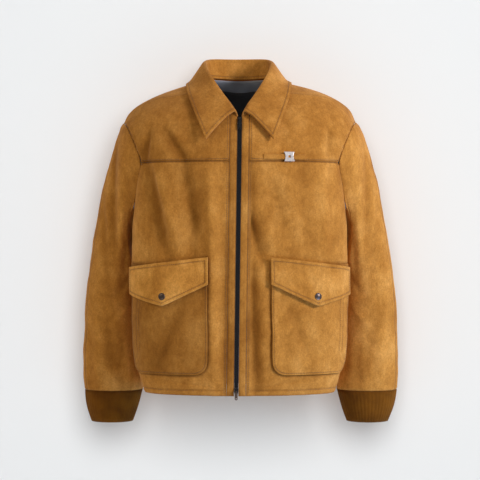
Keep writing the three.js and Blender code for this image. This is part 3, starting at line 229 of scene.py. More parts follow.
thread = plain_material("tan_thread", linear(96, 58, 20), 0.7, grain=2500, depth=0.0001, sheen=0.2)
tape_cloth = plain_material("zip_tape_weave", linear(16, 17, 19), 0.85, grain=1600, shine=0.1)
teeth_metal = plain_material("black_teeth", linear(27, 26, 26), 0.55, grain=900, depth=0.00008, shine=0.15)
black_metal = plain_material("black_metal", linear(34, 33, 34), 0.4, metallic=0.5, grain=350, depth=0.00004)
gunmetal = plain_material("gunmetal", linear(92, 78, 70), 0.34, metallic=1.0, grain=350, depth=0.00004)
polished = plain_material("polished_metal", linear(226, 216, 208), 0.30, metallic=0.75, grain=200,
                          depth=0.00002)
label_weave = plain_material("label_weave", linear(40, 41, 43), 0.6, grain=2200, sheen=0.15)
print("materials so far:", len(bpy.data.materials))


# %% Lining: a smooth dark cloth with a fine twill
def lining_material():
    material, tree, shader = new_material("dark_lining")
    twill = tree.nodes.new("ShaderNodeTexWave")
    twill.bands_direction = "DIAGONAL"
    twill.inputs["Scale"].default_value = 420
    twill.inputs["Distortion"].default_value = 0.6
    tree.links.new(texture_space(tree), twill.inputs["Vector"])
    soft = noise_node(tree, texture_space(tree), scale=18, detail=2, roughness=0.5)
    # Painted light: this grey is lighter than the dark cloth itself, to make up for the shade inside the
    # neck
    colour = ramp(tree, soft, [(0.35, linear(120, 124, 132)), (0.65, linear(148, 152, 160))])
    tree.links.new(colour, shader.inputs["Base Color"])
    shader.inputs["Roughness"].default_value = 0.45
    shader.inputs["Sheen Weight"].default_value = 0.3
    shader.inputs["Sheen Roughness"].default_value = 0.4
    bump(tree, shader, twill.outputs["Fac"], distance=0.0001, strength=0.4)
    return material


# %% Rib knit for the cuffs: fine loops along each rib
def rib_material():
    material, tree, shader = new_material("rib_knit")
    loops = tree.nodes.new("ShaderNodeTexWave")
    loops.bands_direction = "Z"
    loops.inputs["Scale"].default_value = 190
    loops.inputs["Distortion"].default_value = 1.2
    loops.inputs["Detail"].default_value = 1
    tree.links.new(texture_space(tree), loops.inputs["Vector"])
    fuzz = noise_node(tree, texture_space(tree), scale=900, detail=4, roughness=0.7)
    broad = noise_node(tree, texture_space(tree), scale=30, detail=2, roughness=0.5)
    colour = ramp(tree, broad, [(0.35, linear(93, 52, 5)), (0.65, linear(113, 66, 9))])
    tone = ramp(tree, fuzz, [(0.3, (0.75, 0.75, 0.75)), (0.7, (1.18, 1.18, 1.18))])
    tree.links.new(multiplied(tree, 0.8, colour, tone), shader.inputs["Base Color"])
    shader.inputs["Roughness"].default_value = 0.95
    shader.inputs["Specular IOR Level"].default_value = 0.1
    shader.inputs["Sheen Weight"].default_value = 0.15
    shader.inputs["Sheen Tint"].default_value = (1.0, 0.6, 0.2, 1)
    first = bump(tree, shader, loops.outputs["Fac"], distance=0.0003, strength=0.5)
    bump(tree, shader, fuzz, distance=0.0003, strength=0.5, before=first)
    return material


lining = lining_material()
rib_knit = rib_material()
print("materials:", len(bpy.data.materials))

# %% [markdown]
# ## From CAD wall to cloth
#
# A wall's CAD mesh is loose triangles. A copy has its doubles merged and its triangles joined to
# squares, so that a Subdivision Surface flows along the cloth. The edges round its rim are creased,
# or they would shrink away from the neighbour across the seam.

# %% Copy a wall and smooth it
OUTER, INNER, RIM = 0, 1, 2
RIM_ANGLE = math.radians(48)
# Above this turn between two rim edges, the point between them stays sharp
FLAP_CORNER, PANEL_CORNER = math.radians(17), math.radians(60)


def welded(node):
    """A copy of a CAD mesh with its doubled points merged."""
    bm = bmesh.new()
    bm.from_mesh(nodes[node].data)
    bmesh.ops.remove_doubles(bm, verts=bm.verts, dist=WELD)
    return bm


def merged_copy(node):
    """A welded copy with its triangles joined to squares."""
    bm = welded(node)
    bmesh.ops.join_triangles(bm, faces=bm.faces, cmp_seam=False, cmp_sharp=False, cmp_uvs=False,
                             cmp_vcols=False, cmp_materials=False,
                             angle_face_threshold=math.radians(40), angle_shape_threshold=math.radians(50))
    return bm


def crease_rim(bm, corner_angle):
    """Creases the edges of the rim, and the rim's corners, so that a point stays a point."""
    crease = bm.edges.layers.float.new("crease_edge")
    sharp = [edge for edge in bm.edges if len(edge.link_faces) == 2 and edge.calc_face_angle() > RIM_ANGLE]
    for edge in sharp:
        edge[crease] = 1.0
    corner = bm.verts.layers.float.new("crease_vert")
    for vertex in {vertex for edge in sharp for vertex in edge.verts}:
        along = [edge.other_vert(vertex).co - vertex.co for edge in vertex.link_edges if edge[crease] > 0.5]
        if len(along) == 2 and math.pi - along[0].angle(along[1]) > corner_angle:
            vertex[corner] = 1.0
    return crease


def islands(bm, crease):
    """Faces in groups that a creased edge bounds, the largest groups first."""
    seen, groups = set(), []
    for start in bm.faces:
        if start in seen:
            continue
        group, stack = [], [start]
        seen.add(start)
        while stack:
            face = stack.pop()
            group.append(face)
            for edge in face.edges:
                if edge[crease] > 0.5:
                    continue
                for other in edge.link_faces:
                    if other not in seen:
                        seen.add(other)
                        stack.append(other)
        groups.append(group)
    return sorted(groups, key=lambda faces: -sum(face.calc_area() for face in faces))


def sleeve_axis(height):
    """How far out and how far back a sleeve's axis lies at one height, or at each of many."""
    share = np.clip((height - SLEEVE_TOP_Z) / (CUFF_Z - SLEEVE_TOP_Z), 0, 1)
    return SLEEVE_X + SLEEVE_LEAN_X * share, SLEEVE_Y + SLEEVE_LEAN_Y * share


def axis_point(node, place):
    """A point in the middle of the body or of the sleeve, at the height of a place."""
    if node.startswith("sleeve"):
        out, back = sleeve_axis(place.z)
        return Vector((SIDES[node.rsplit("_", 1)[1]] * out, back, place.z))
    return Vector((CHEST.x, CHEST.y, min(place.z, CHEST.z)))


def cloth(node, levels, facing):
    """Makes a smooth piece of cloth from a node's wall, its outer, inner and rim faces told apart."""
    bm = merged_copy(node)
    crease = crease_rim(bm, FLAP_CORNER if "flap" in node else PANEL_CORNER)
    for face in bm.faces:
        face.smooth = True
        face.material_index = RIM
    for group in islands(bm, crease)[:2]:
        towards = 0.0
        for face in group:
            middle = face.calc_center_median()
            away = middle - axis_point(node, middle) if facing is None else facing
            towards += face.calc_area() * face.normal.dot(away)
        for face in group:
            face.material_index = OUTER if towards > 0 else INNER
    mesh = bpy.data.meshes.new(node + "_cloth")
    bm.to_mesh(mesh)
    bm.free()
    piece = bpy.data.objects.new(node + "_cloth", mesh)
    bpy.context.scene.collection.objects.link(piece)
    smooth = piece.modifiers.new("smooth", "SUBSURF")
    smooth.levels = smooth.render_levels = levels
    evaluated = piece.evaluated_get(bpy.context.evaluated_depsgraph_get())
    fine = bpy.data.meshes.new_from_object(evaluated)
    piece.modifiers.clear()
    piece.data = fine
    bpy.data.meshes.remove(mesh)
    return piece


def dress(piece, materials):
    """Gives the outer, inner and rim faces their materials; the mesh comes here with none."""
    for material in materials:
        piece.data.materials.append(material)


# %% [markdown]
# ## Placed creases
#
# The photograph shows broad, soft vertical folds, and a few slanted ones in the sleeves. One field
# of creases moves the whole body, so pockets and flaps go with the cloth below them, and a second
# one moves each sleeve. Both fade out at the armhole, where body and sleeve share a seam.

# %% Tables of creases
# x and z are the crease's upper end, to_x and to_z its lower end; rise is out of the cloth
FRONT_CREASES = [
    dict(x=-0.196, z=-0.165, to_x=-0.158, to_z=-0.345, width=0.014, rise=-0.0085),
    dict(x=-0.168, z=-0.19, to_x=-0.130, to_z=-0.33, width=0.012, rise=0.0042),
    dict(x=-0.122, z=-0.165, to_x=-0.094, to_z=-0.30, width=0.017, rise=-0.0085),
    dict(x=-0.093, z=-0.27, to_x=-0.103, to_z=-0.37, width=0.013, rise=-0.0045),
    dict(x=-0.060, z=-0.19, to_x=-0.050, to_z=-0.60, width=0.013, rise=0.0070),
    dict(x=-0.034, z=-0.36, to_x=-0.042, to_z=-0.62, width=0.010, rise=-0.0035),
    dict(x=-0.162, z=-0.095, to_x=-0.116, to_z=-0.165, width=0.013, rise=-0.0070),
    dict(x=-0.192, z=-0.09, to_x=-0.203, to_z=-0.16, width=0.008, rise=-0.0065),
    dict(x=0.021, z=-0.175, to_x=0.021, to_z=-0.31, width=0.008, rise=-0.0060),
    dict(x=0.022, z=-0.280, to_x=0.045, to_z=-0.365, width=0.010, rise=-0.0085),
    dict(x=0.044, z=-0.26, to_x=0.067, to_z=-0.35, width=0.011, rise=0.0030),
    dict(x=0.072, z=-0.22, to_x=0.099, to_z=-0.32, width=0.014, rise=-0.0032),
    dict(x=0.022, z=-0.38, to_x=0.034, to_z=-0.62, width=0.013, rise=-0.0092),
    dict(x=0.042, z=-0.40, to_x=0.050, to_z=-0.60, width=0.011, rise=0.0030),
    dict(x=0.132, z=-0.18, to_x=0.142, to_z=-0.34, width=0.015, rise=-0.0025),
    dict(x=0.168, z=-0.17, to_x=0.176, to_z=-0.35, width=0.012, rise=0.0045),
    dict(x=0.191, z=-0.095, to_x=0.188, to_z=-0.150, width=0.010, rise=-0.0050),
    dict(x=0.176, z=-0.095, to_x=0.174, to_z=-0.150, width=0.010, rise=0.0012),
    dict(x=-0.128, z=-0.47, to_x=-0.180, to_z=-0.60, width=0.014, rise=-0.0035),
    dict(x=0.102, z=-0.46, to_x=0.142, to_z=-0.56, width=0.013, rise=-0.0035),
    dict(x=0.062, z=-0.50, to_x=0.082, to_z=-0.60, width=0.013, rise=0.0030),
    dict(x=-0.168, z=-0.615, to_x=-0.048, to_z=-0.63, width=0.010, rise=-0.0020),
    dict(x=0.042, z=-0.63, to_x=0.152, to_z=-0.61, width=0.010, rise=-0.0020),
]
BACK_CREASES = [
    dict(x=-0.150, z=-0.18, to_x=-0.120, to_z=-0.40, width=0.016, rise=-0.0051),
    dict(x=0.150, z=-0.18, to_x=0.125, to_z=-0.42, width=0.016, rise=-0.0051),
    dict(x=-0.070, z=-0.40, to_x=-0.090, to_z=-0.62, width=0.018, rise=-0.0051),
    dict(x=0.020, z=-0.44, to_x=0.010, to_z=-0.64, width=0.016, rise=0.0044),
    dict(x=0.095, z=-0.46, to_x=0.080, to_z=-0.63, width=0.016, rise=-0.0048),
    dict(x=0.0, z=-0.10, to_x=0.01, to_z=-0.30, width=0.030, rise=-0.0034),
]
# On a sleeve, around is the angle from the outer side towards the front, in degrees
SLEEVE_CREASES = [
    dict(around=58, z=-0.14, to_around=74, to_z=-0.34, width=13, rise=-0.0058),
    dict(around=84, z=-0.16, to_around=92, to_z=-0.36, width=11, rise=0.0041),
    dict(around=112, z=-0.20, to_around=104, to_z=-0.40, width=12, rise=-0.0051),
    dict(around=30, z=-0.26, to_around=66, to_z=-0.40, width=10, rise=-0.0031),
    dict(around=130, z=-0.40, to_around=84, to_z=-0.45, width=13, rise=-0.0034),
    dict(around=124, z=-0.47, to_around=72, to_z=-0.52, width=12, rise=0.0028),
    dict(around=70, z=-0.50, to_around=92, to_z=-0.60, width=14, rise=-0.0051),
    dict(around=48, z=-0.52, to_around=58, to_z=-0.63, width=12, rise=0.0037),
    dict(around=108, z=-0.55, to_around=116, to_z=-0.64, width=12, rise=-0.0037),
    dict(around=-60, z=-0.16, to_around=-76, to_z=-0.36, width=14, rise=-0.0051),
    dict(around=-120, z=-0.40, to_around=-60, to_z=-0.46, width=14, rise=-0.0048),
    dict(around=-90, z=-0.50, to_around=-80, to_z=-0.62, width=14, rise=0.0041),
]
# As shares of a crease's length: how far it runs on past each end, and where it is at full depth
RUN_ON, FULL_FROM = 0.3, 0.25
print("creases in front, behind and on a sleeve:",
      len(FRONT_CREASES), len(BACK_CREASES), len(SLEEVE_CREASES))


def smoothstep(value, low, high):
    share = np.clip((value - low) / (high - low), 0, 1)
    return share * share * (3 - 2 * share)


def bell(offset, width):
    return np.exp(-((offset / width) ** 2))


def crease_lift(creases, across, height, key, to_key):
    """How far a table of creases lifts each point, given its place across and its height."""
    lift = np.zeros(len(across))
    for row in creases:
        run = np.array([row[to_key] - row[key], row["to_z"] - row["z"]])
        share = (height - row["z"]) / run[1]
        middle = row[key] + run[0] * np.clip(share, -RUN_ON, 1 + RUN_ON)
        fade = smoothstep(share, -RUN_ON, FULL_FROM) * (1 - smoothstep(share, 1 - FULL_FROM, 1 + RUN_ON))
        lift += row["rise"] * fade * bell(across - middle, row["width"])
    return lift


# %% The armholes, where both fields fade out
SEWN_GAP = 0.002
BODY_PANELS = ("front_left", "front_right", "front_yoke_left", "front_yoke_right", "back_panel")
SLEEVE_PANELS = [f"sleeve_{half}_{side}" for half in ("front", "back") for side in SIDES]


def tree_of(places):
    """A search tree that finds the nearest of some places."""
    tree = kdtree.KDTree(len(places))
    for k, place in enumerate(places):
        tree.insert(place, k)
    tree.balance()
    return tree


def points_of(names):
    return [vertex.co[:] for name in names for vertex in nodes[name].data.vertices]


sleeve_tree = tree_of(points_of(SLEEVE_PANELS))
armhole_points = [place for place in points_of(BODY_PANELS) if sleeve_tree.find(place)[2] < SEWN_GAP]
armhole = tree_of(armhole_points)
print("armhole points:", len(armhole_points))


def from_armhole(points):
    return np.array([armhole.find(point)[2] for point in points])


# %% Move the cloth along the fields
# Small bumps of the whole cloth, and the share of the finer ones
UNEVEN, FINE_SHARE = 0.0018, 0.6
# The fullness where a sleeve is eased into its armhole
SLEEVE_HEAD, HEAD_INSET, HEAD_WIDTH = 0.0016, 0.010, 0.007
# The fold that gets the darkest shade; a ridge is lightened by half as much
DEEP_FOLD, RIDGE_SHARE = 0.0105, 0.5
# The wearer's left sleeve hangs smoother than the right one
LEFT_SLEEVE_CALM = 0.6
FLAP_LIFT = 0.0060
LEAF_LIFT = 0.0060
STRAP_TAPER, TAPER_RUN = 0.0011, 0.012
# Folds move the body's cloth mostly forwards or back, and sideways by this share
SIDEWAYS = 0.6
# The collar leaf's inner corner, beside the zip, hangs a little forwards and down
COLLAR_NOTCH = (0.010, -0.109, -0.060)
NOTCH_REACH = 0.013
NOTCH_FORWARD, NOTCH_DOWN = 0.0030, 0.0060
COLLAR_WAVER = 0.0008
# From where to where the cloth's moves grow to their full measure
SIDE_FADE, ZIP_FADE, NECK_FADE = (0.0, 0.05), (0.015, 0.027), (-0.07, -0.03)
ARMHOLE_FADE, SLEEVE_FADE = (0.001, 0.014), (0.001, 0.03)
CUFF_FADE, HEAD_FADE = (CUFF_Z + 0.002, CUFF_Z + 0.03), (-0.30, -0.20)
LEAF_AHEAD, LEAF_LOW = (0.02, 0.12), (0.03, 0.11)


def unevenness(points, scale):
    """Soft bumps between -1 and 1; a larger scale makes them smaller."""
    return np.array([noise.noise(Vector(point) * scale) for point in points])


def level_directions(x, y):
    """Level unit vectors, one for each point."""
    directions = np.stack([x, y, np.zeros(len(x))], axis=1)
    return directions / np.maximum(np.linalg.norm(directions, axis=1), TINY)[:, None]


def body_field(points):
    """Moves and folds of the body's cloth; both fade out at the armhole, the zip and the neck."""
    in_front = points[:, 1] < BODY_AXIS.y
    outwards = level_directions(points[:, 0] * SIDEWAYS, points[:, 1] - BODY_AXIS.y)
    front = crease_lift(FRONT_CREASES, points[:, 0], points[:, 2], "x", "to_x")
    back = crease_lift(BACK_CREASES, points[:, 0], points[:, 2], "x", "to_x")
    lift = np.where(in_front, front, back)
    lift *= smoothstep(np.abs(points[:, 1] - BODY_AXIS.y), *SIDE_FADE)
    folds = lift.copy()
    lift += UNEVEN * unevenness(points, 14) + FINE_SHARE * UNEVEN * unevenness(points, 34)
    lift *= smoothstep(from_armhole(points), *ARMHOLE_FADE)
    near_zip = np.where(in_front, smoothstep(np.abs(points[:, 0]), *ZIP_FADE), 1.0)
    low_neck = 1 - smoothstep(points[:, 2], *NECK_FADE)
    return outwards * (lift * near_zip * low_neck)[:, None], folds * near_zip * low_neck


def sleeve_field(points):
    """Moves and folds of a sleeve's cloth, straight out from the sleeve's axis."""
    side = np.sign(points[:, 0])
    out, back = sleeve_axis(points[:, 2])
    across = side * points[:, 0] - out
    depth = points[:, 1] - back
    around = np.degrees(np.arctan2(-depth, across))
    lift = crease_lift(SLEEVE_CREASES, around, points[:, 2], "around", "to_around")
    lift *= np.where(side > 0, LEFT_SLEEVE_CALM, 1.0)
    folds = lift.copy()
    lift += UNEVEN * unevenness(points, 16) + FINE_SHARE * UNEVEN * unevenness(points, 38)
    away = from_armhole(points)
    lift *= smoothstep(away, *SLEEVE_FADE) * smoothstep(points[:, 2], *CUFF_FADE)
    lift += SLEEVE_HEAD * bell(away - HEAD_INSET, HEAD_WIDTH) * smoothstep(points[:, 2], *HEAD_FADE)
    return level_directions(side * across, depth) * lift[:, None], folds


def collar_field(points):
    """Lifts the leaf's edge off the shoulders, most at the two front tips."""
    ahead = smoothstep(-points[:, 1], *LEAF_AHEAD)
    low = smoothstep(-points[:, 2], *LEAF_LOW)
    waver = COLLAR_WAVER * unevenness(points, 22)
    lift = np.zeros_like(points)
    lift[:, 1] = -LEAF_LIFT * ahead * low - waver
    for side in SIDES.values():
        away = np.linalg.norm(points - np.array(COLLAR_NOTCH) * (side, 1, 1), axis=1)
        near = bell(away, NOTCH_REACH)
        lift[:, 1] -= NOTCH_FORWARD * near
        lift[:, 2] -= NOTCH_DOWN * near
    return lift, np.zeros(len(points))


def flap_field(points):
    """The body's field, with the flap's point standing off its pocket."""
    moves, folds = body_field(points)
    top, bottom = points[:, 2].max(), points[:, 2].min()
    moves[:, 1] -= FLAP_LIFT * ((top - points[:, 2]) / (top - bottom)) ** 1.5
    return moves, folds


def strap_field(points):
    """The body's field, with the strap's free end let down on to the yoke."""
    moves, folds = body_field(points)
    from_end = points[:, 0] - points[:, 0].min()
    moves[:, 1] += STRAP_TAPER * (1 - smoothstep(from_end, 0.0, TAPER_RUN))
    return moves, folds


def mesh_points(mesh, name="co"):
    values = np.empty(len(mesh.vertices) * 3)
    mesh.vertices.foreach_get(name, values)
    return values.reshape(-1, 3)


def bend(piece, field, nap):
    """Moves a piece along a field, and keeps its nap tone and its folds for the suede's colour: painted
    shade in troughs, painted highlight on ridges.
    """
    mesh = piece.data
    points = mesh_points(mesh)
    moves, folds = field(points)
    mesh.vertices.foreach_set("co", (points + moves).ravel())
    attribute = mesh.attributes.new("fold", "FLOAT", "POINT")
    # Troughs become painted shade and ridges painted highlight; nap raises or lowers a whole piece's tone,
    # partly painted light
    folds = np.where(folds > 0, folds * RIDGE_SHARE, folds)
    shade = np.clip(0.5 + nap + folds / (2 * DEEP_FOLD), 0, 1)
    attribute.data.foreach_set("value", shade.astype(np.float32))
    mesh.update()


def moved(place):
    """Where the body's field takes one place, for a hard part that sits on the cloth."""
    moves, _ = body_field(np.array([place[:]]))
    return Vector(moves[0])


# %% [markdown]
# ## Seams
#
# A sewn edge is pulled in by its seam and plump beside it, and a row of topstitching sinks into
# the suede. Both follow the distance from the panel's own edge, so no seam is drawn by hand. Their
# grooves, and a line round each piece sewn on top, get painted shade in the suede's colour.

# %% Sink the seams and the stitched rows
SEAM_SINK = 0.0008
SEAM_SHADE = 0.44
SHOULDER_TOP = -0.03
SEAM_WIDTH = 0.0012
PAINTED_CONTACT_SHADOW_WIDTH = 0.0038
PLUMP, PLUMP_INSET, PLUMP_WIDTH = 0.0007, 0.0055, 0.0025
ROW_SINK = 0.0006
ROW_WIDTH = 0.0013
# How much painted shade a seam's groove gets along the shoulders, at the yoke, at the armhole, on a lapped
# edge
SHADE_ON_TOP, SHADE_AT_YOKE, SHADE_AT_ARMHOLE, SHADE_LAPPED = 0.35, 0.8, 0.3, 0.1


def edge_distance(piece, keep=None, other=None):
    """How far each point of a panel lies from its own edge, or from another piece's edge."""
    bm = bmesh.new()
    bm.from_mesh((other or piece).data)
    kinds = {RIM} if other else {RIM, OUTER}
    rim = [vertex.co.copy() for vertex in bm.verts
           if kinds <= {face.material_index for face in vertex.link_faces}
           and (keep is None or keep(vertex.co))]
    bm.free()
    if not rim:
        return np.full(len(piece.data.vertices), 1.0)
    tree = tree_of(rim)
    return np.array([tree.find(v.co)[2] for v in piece.data.vertices])


def sink_seams(piece, rows, lapped, shadowing_pieces):
    """rows are the lines of topstitching: distance from the edge, which part of it, how much painted shade.

    A lapped edge lies on top of another panel and keeps its thickness. The seam's groove gets painted
    shade, and so does a line round the edge of each piece sewn on top of the panel, such as its pocket.
    """
    mesh = piece.data
    outer = np.zeros(len(mesh.vertices), bool)
    for polygon in mesh.polygons:
        if polygon.material_index == OUTER:
            outer[list(polygon.vertices)] = True
    distance = edge_distance(piece)
    groove = bell(distance, SEAM_WIDTH)
    lift = PLUMP * bell(distance - PLUMP_INSET, PLUMP_WIDTH) - (0 if lapped else SEAM_SINK * groove)
    points = mesh_points(mesh)
    low = 1 - smoothstep(points[:, 2], SHOULDER_TOP - 0.06, SHOULDER_TOP)
    at_yoke = bell(points[:, 2] - YOKE_Z, 0.006) * (points[:, 1] < BODY_AXIS.y)
    off_armhole = smoothstep(from_armhole(points), 0.002, 0.008)
    if lapped:
        depth = SHADE_LAPPED
    else:
        depth = SEAM_SHADE * (SHADE_ON_TOP + (1 - SHADE_ON_TOP) * low + SHADE_AT_YOKE * at_yoke)
        depth = depth * (SHADE_AT_ARMHOLE + (1 - SHADE_AT_ARMHOLE) * off_armhole)
    shade = depth * groove
    for other in shadowing_pieces:
        shade = np.maximum(shade, bell(edge_distance(piece, other=other), PAINTED_CONTACT_SHADOW_WIDTH))
    for inset, keep, strength in rows:
        line = bell(edge_distance(piece, keep) - inset, ROW_WIDTH)
        lift -= ROW_SINK * line
        shade = np.maximum(shade, strength * line)
    points += mesh_points(mesh, "normal") * (lift * outer)[:, None]
    mesh.vertices.foreach_set("co", points.ravel())
    attribute = mesh.attributes.new("seam", "FLOAT", "POINT")
    attribute.data.foreach_set("value", (shade * outer).astype(np.float32))
    mesh.update()


# %% [markdown]
# ## The sewn pieces
#
# Every panel of the pattern is one piece here, as it is on the cutting table.

# %% Which part of a panel's edge a row of topstitching follows
def at_hem(place):
    return place.z < HEM_Z + 0.004


def at_band(place):
    return abs(place.x) < 0.032 and place.z > HEM_Z + 0.006


def at_yoke_seam(place):
    return abs(place.z - YOKE_Z) < 0.004 and abs(place.x) > 0.022


def at_armhole(place):
    return armhole.find(place)[2] < 0.006


def below_flap(place):
    return place.z < -0.395


def at_side_entry(place):
    """The outer side of a patch pocket, where a hand goes in behind it."""
    return abs(place.x) > 0.19 and -0.555 < place.z < -0.42


# The lines of topstitching on each kind of panel: how far in, along which part of its edge,
# and how much painted shade the sunk row gets
STITCH_ROWS = {
    "front": [(0.0115, at_hem, 0.5), (0.0040, at_band, 0.3), (0.0036, at_armhole, 0.15)],
    "front_yoke": [(0.0036, at_yoke_seam, 0.3), (0.0036, at_armhole, 0.15), (0.0040, at_band, 0.3)],
    "back_panel": [(0.0115, at_hem, 0.5)],
    "pocket_flap": [(0.0068, None, 0.45)],
    "pocket": [(0.0040, below_flap, 0.25), (0.0250, at_side_entry, 0.3), (0.0360, at_side_entry, 0.25)],
    "collar": [(0.0062, None, 0.4)],
}
LAPPED = ("pocket", "pocket_flap", "collar", "chest_strap")
print("kinds of panel with topstitching:", len(STITCH_ROWS))

# %% The pattern's pieces, with the width, length and area of each flat cut in metres
SUEDE_WALL = [suede, lining, suede_edge]
SUEDE_ONLY = [suede, suede, suede_edge]
CUTS = [
    dict(kind="back_panel", flat=(0.64, 0.70), area=0.352, walls=SUEDE_WALL, held="draped"),
    dict(kind="front", flat=(0.33, 0.49), area=0.144, walls=SUEDE_WALL, held="hung"),
    dict(kind="front_yoke", flat=(0.26, 0.21), area=0.0374, walls=SUEDE_WALL, held="draped"),
    dict(kind="front_band", flat=(0.017, 0.60), area=None, walls=SUEDE_ONLY, held="hung"),
    dict(kind="sleeve_front", flat=(0.17, 0.58), area=0.076, walls=SUEDE_WALL, held="hung"),
    dict(kind="sleeve_back", flat=(0.22, 0.58), area=0.105, walls=SUEDE_WALL, held="hung"),
    dict(kind="collar", flat=(0.57, 0.15), area=0.0655, walls=SUEDE_ONLY, held="folded"),
    dict(kind="pocket", flat=(0.19, 0.23), area=0.0432, walls=SUEDE_ONLY, held="hung"),
    dict(kind="pocket_flap", flat=(0.195, 0.10), area=0.0151, walls=SUEDE_ONLY, held="hung"),
    dict(kind="chest_strap", flat=(0.092, 0.0135), area=None, walls=[suede] * 3, held="hung"),
    dict(kind="neck_lining", flat=(0.24, 0.14), area=0.0243, walls=[lining] * 3, held="hung"),
    dict(kind="neck_label", flat=(0.12, 0.065), area=None, walls=[label_weave] * 3, held="hung"),
    dict(kind="cuff", flat=(0.31, 0.070), area=None, walls=[rib_knit] * 3, held="stretched"),
    dict(kind="zip_tape", flat=(0.011, 0.60), area=None, walls=[tape_cloth] * 3, held="hung"),
]
# One row for each piece: a kind that the frame has on both sides is cut twice
PANELS = [dict(row, node=row["kind"] + end) for row in CUTS for end in ("", "_left", "_right")
          if row["kind"] + end in nodes]
# Each piece is cut with its nap lying its own way, which makes it lighter or darker than the next; these
# tones also hold painted light and shade for how each piece faces the lamps
NAP_TONE_AND_PAINTED_LIGHT = {"pocket_flap_right": 0.40, "pocket_right": -0.32, "pocket_flap_left": 0.10, "pocket_left": 0.08,
       "front_yoke_right": -0.12, "front_band_right": -0.24, "front_band_left": -0.08,
       "sleeve_front_left": 0.13, "sleeve_front_right": 0.03, "collar": 0.03}
FRONT = Vector((0, -1, 0))
FINE_LEVELS, PLAIN_LEVELS = 3, 2
FIELDS = {"collar": collar_field, "chest_strap": strap_field, "pocket_flap": flap_field,
          "sleeve_front": sleeve_field, "sleeve_back": sleeve_field, "cuff": sleeve_field}
pieces = {}
for row in PANELS:
    node = row["node"]
    flat_on_front = node.startswith(("pocket", "chest"))
    seen_in_front = node.startswith(("front", "pocket", "collar", "sleeve_front"))
    piece = cloth(node, FINE_LEVELS if seen_in_front else PLAIN_LEVELS, FRONT if flat_on_front else None)
    bend(piece, FIELDS.get(row["kind"], body_field), NAP_TONE_AND_PAINTED_LIGHT.get(node, 0))
    dress(piece, row["walls"])
    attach(piece, "jacket")
    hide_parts(node)
    pieces[node] = piece
    area = sum(polygon.area for polygon in piece.data.polygons) / 2
    print(f"{node}: {len(piece.data.polygons)} faces, one side {area:.4f} m2")

# %% Seams and stitched rows of the suede pieces
for row in PANELS:
    node, kind = row["node"], row["kind"]
    if row["walls"][0] == suede:
        side_name = node.removeprefix(kind)
        on_top = {"front": ["pocket", "pocket_flap"], "pocket": ["pocket_flap"]}.get(kind, [])
        sink_seams(pieces[node], STITCH_ROWS.get(kind, []), kind in LAPPED,
                   [pieces[name + side_name] for name in on_top])
        print(f"{node}: {len(STITCH_ROWS.get(kind, []))} sunk rows, pressed by {len(on_top)} pieces")

# %% [markdown]
# ## Stitching
#
# Each stitch is a small rounded grain of thread. Its line is found from the edge of its own panel:
# the edge of the outer face, moved in by the width of the seam allowance, and then dropped on to
# the cloth. So a line of stitches follows every bend of its seam.

# %% Edge lines of a panel
STITCH_PITCH = 0.0044
# A stitch that would come nearer to the edge than this share of its inset is left out
NEAREST_SHARE = 0.86


def edge_lines(piece):
    """The outer face's edge as ordered lists of (place, direction into the panel)."""
    bm = bmesh.new()
    bm.from_mesh(piece.data)
    bm.verts.ensure_lookup_table()
    follow, inwards = {}, {}
    for edge in bm.edges:
        kinds = [face.material_index for face in edge.link_faces]
        if len(kinds) != 2 or kinds.count(OUTER) != 1:
            continue
        face = edge.link_faces[kinds.index(OUTER)]
        a, b = edge.verts
        into = face.calc_center_median() - (a.co + b.co) / 2
        along = (b.co - a.co).normalized()
        into = (into - along * into.dot(along)).normalized()
        for one, two in ((a, b), (b, a)):
            follow.setdefault(one.index, []).append(two.index)
            inwards[one.index] = inwards.get(one.index, Vector()) + into
    lines = []
    while follow:
        start = next(iter(follow))
        line, here, before = [], start, None
        while here in follow:
            line.append((bm.verts[here].co.copy(), inwards[here].normalized()))
            onwards = [other for other in follow.pop(here) if other != before and other in follow]
            if not onwards:
                break
            before, here = here, onwards[0]
        if len(line) > 4:
            line.append(line[0])
            lines.append(line)
    bm.free()
    return lines


def sewn_line(piece, inset, keep):
    """Places and directions along a panel's edge, moved in by inset, where keep allows."""
    tree = BVHTree.FromPolygons([v.co[:] for v in piece.data.vertices],
                                [p.vertices[:] for p in piece.data.polygons if p.material_index == OUTER])
    lines = edge_lines(piece)
    border = tree_of([place for line in lines for place, _ in line])
    result = []
    for line in lines:
        travelled = 0.0
        for (here, into), (there, into_there) in zip(line, line[1:]):
            length = (there - here).length
            if length < TINY:
                continue
            while travelled < length:
                share = travelled / length
                edge_place = here.lerp(there, share)
                place = edge_place + into.lerp(into_there, share).normalized() * inset
                travelled += STITCH_PITCH
                if keep is not None and not keep(edge_place):
                    continue
                nearest, normal, _, _ = tree.find_nearest(place)
                if nearest is None or border.find(nearest)[2] < inset * NEAREST_SHARE:
                    continue
                result.append((nearest, (there - here).normalized(), normal))
            travelled -= length
    return result


# %% Sew a line of stitches
STITCH_LENGTH = 0.0034
STITCH_WIDTH = 0.0008
# Against its width: how high a stitch is, and how far its middle stands off the cloth
STITCH_HEIGHT, STITCH_PROUD = 0.8, 0.12


def new_object(name, bm, material):
    """Turns a BMesh into an object of the scene, all in one material."""
    mesh = bpy.data.meshes.new(name)
    bm.to_mesh(mesh)
    bm.free()
    mesh.materials.append(material)
    thing = bpy.data.objects.new(name, mesh)
    bpy.context.scene.collection.objects.link(thing)
    return thing


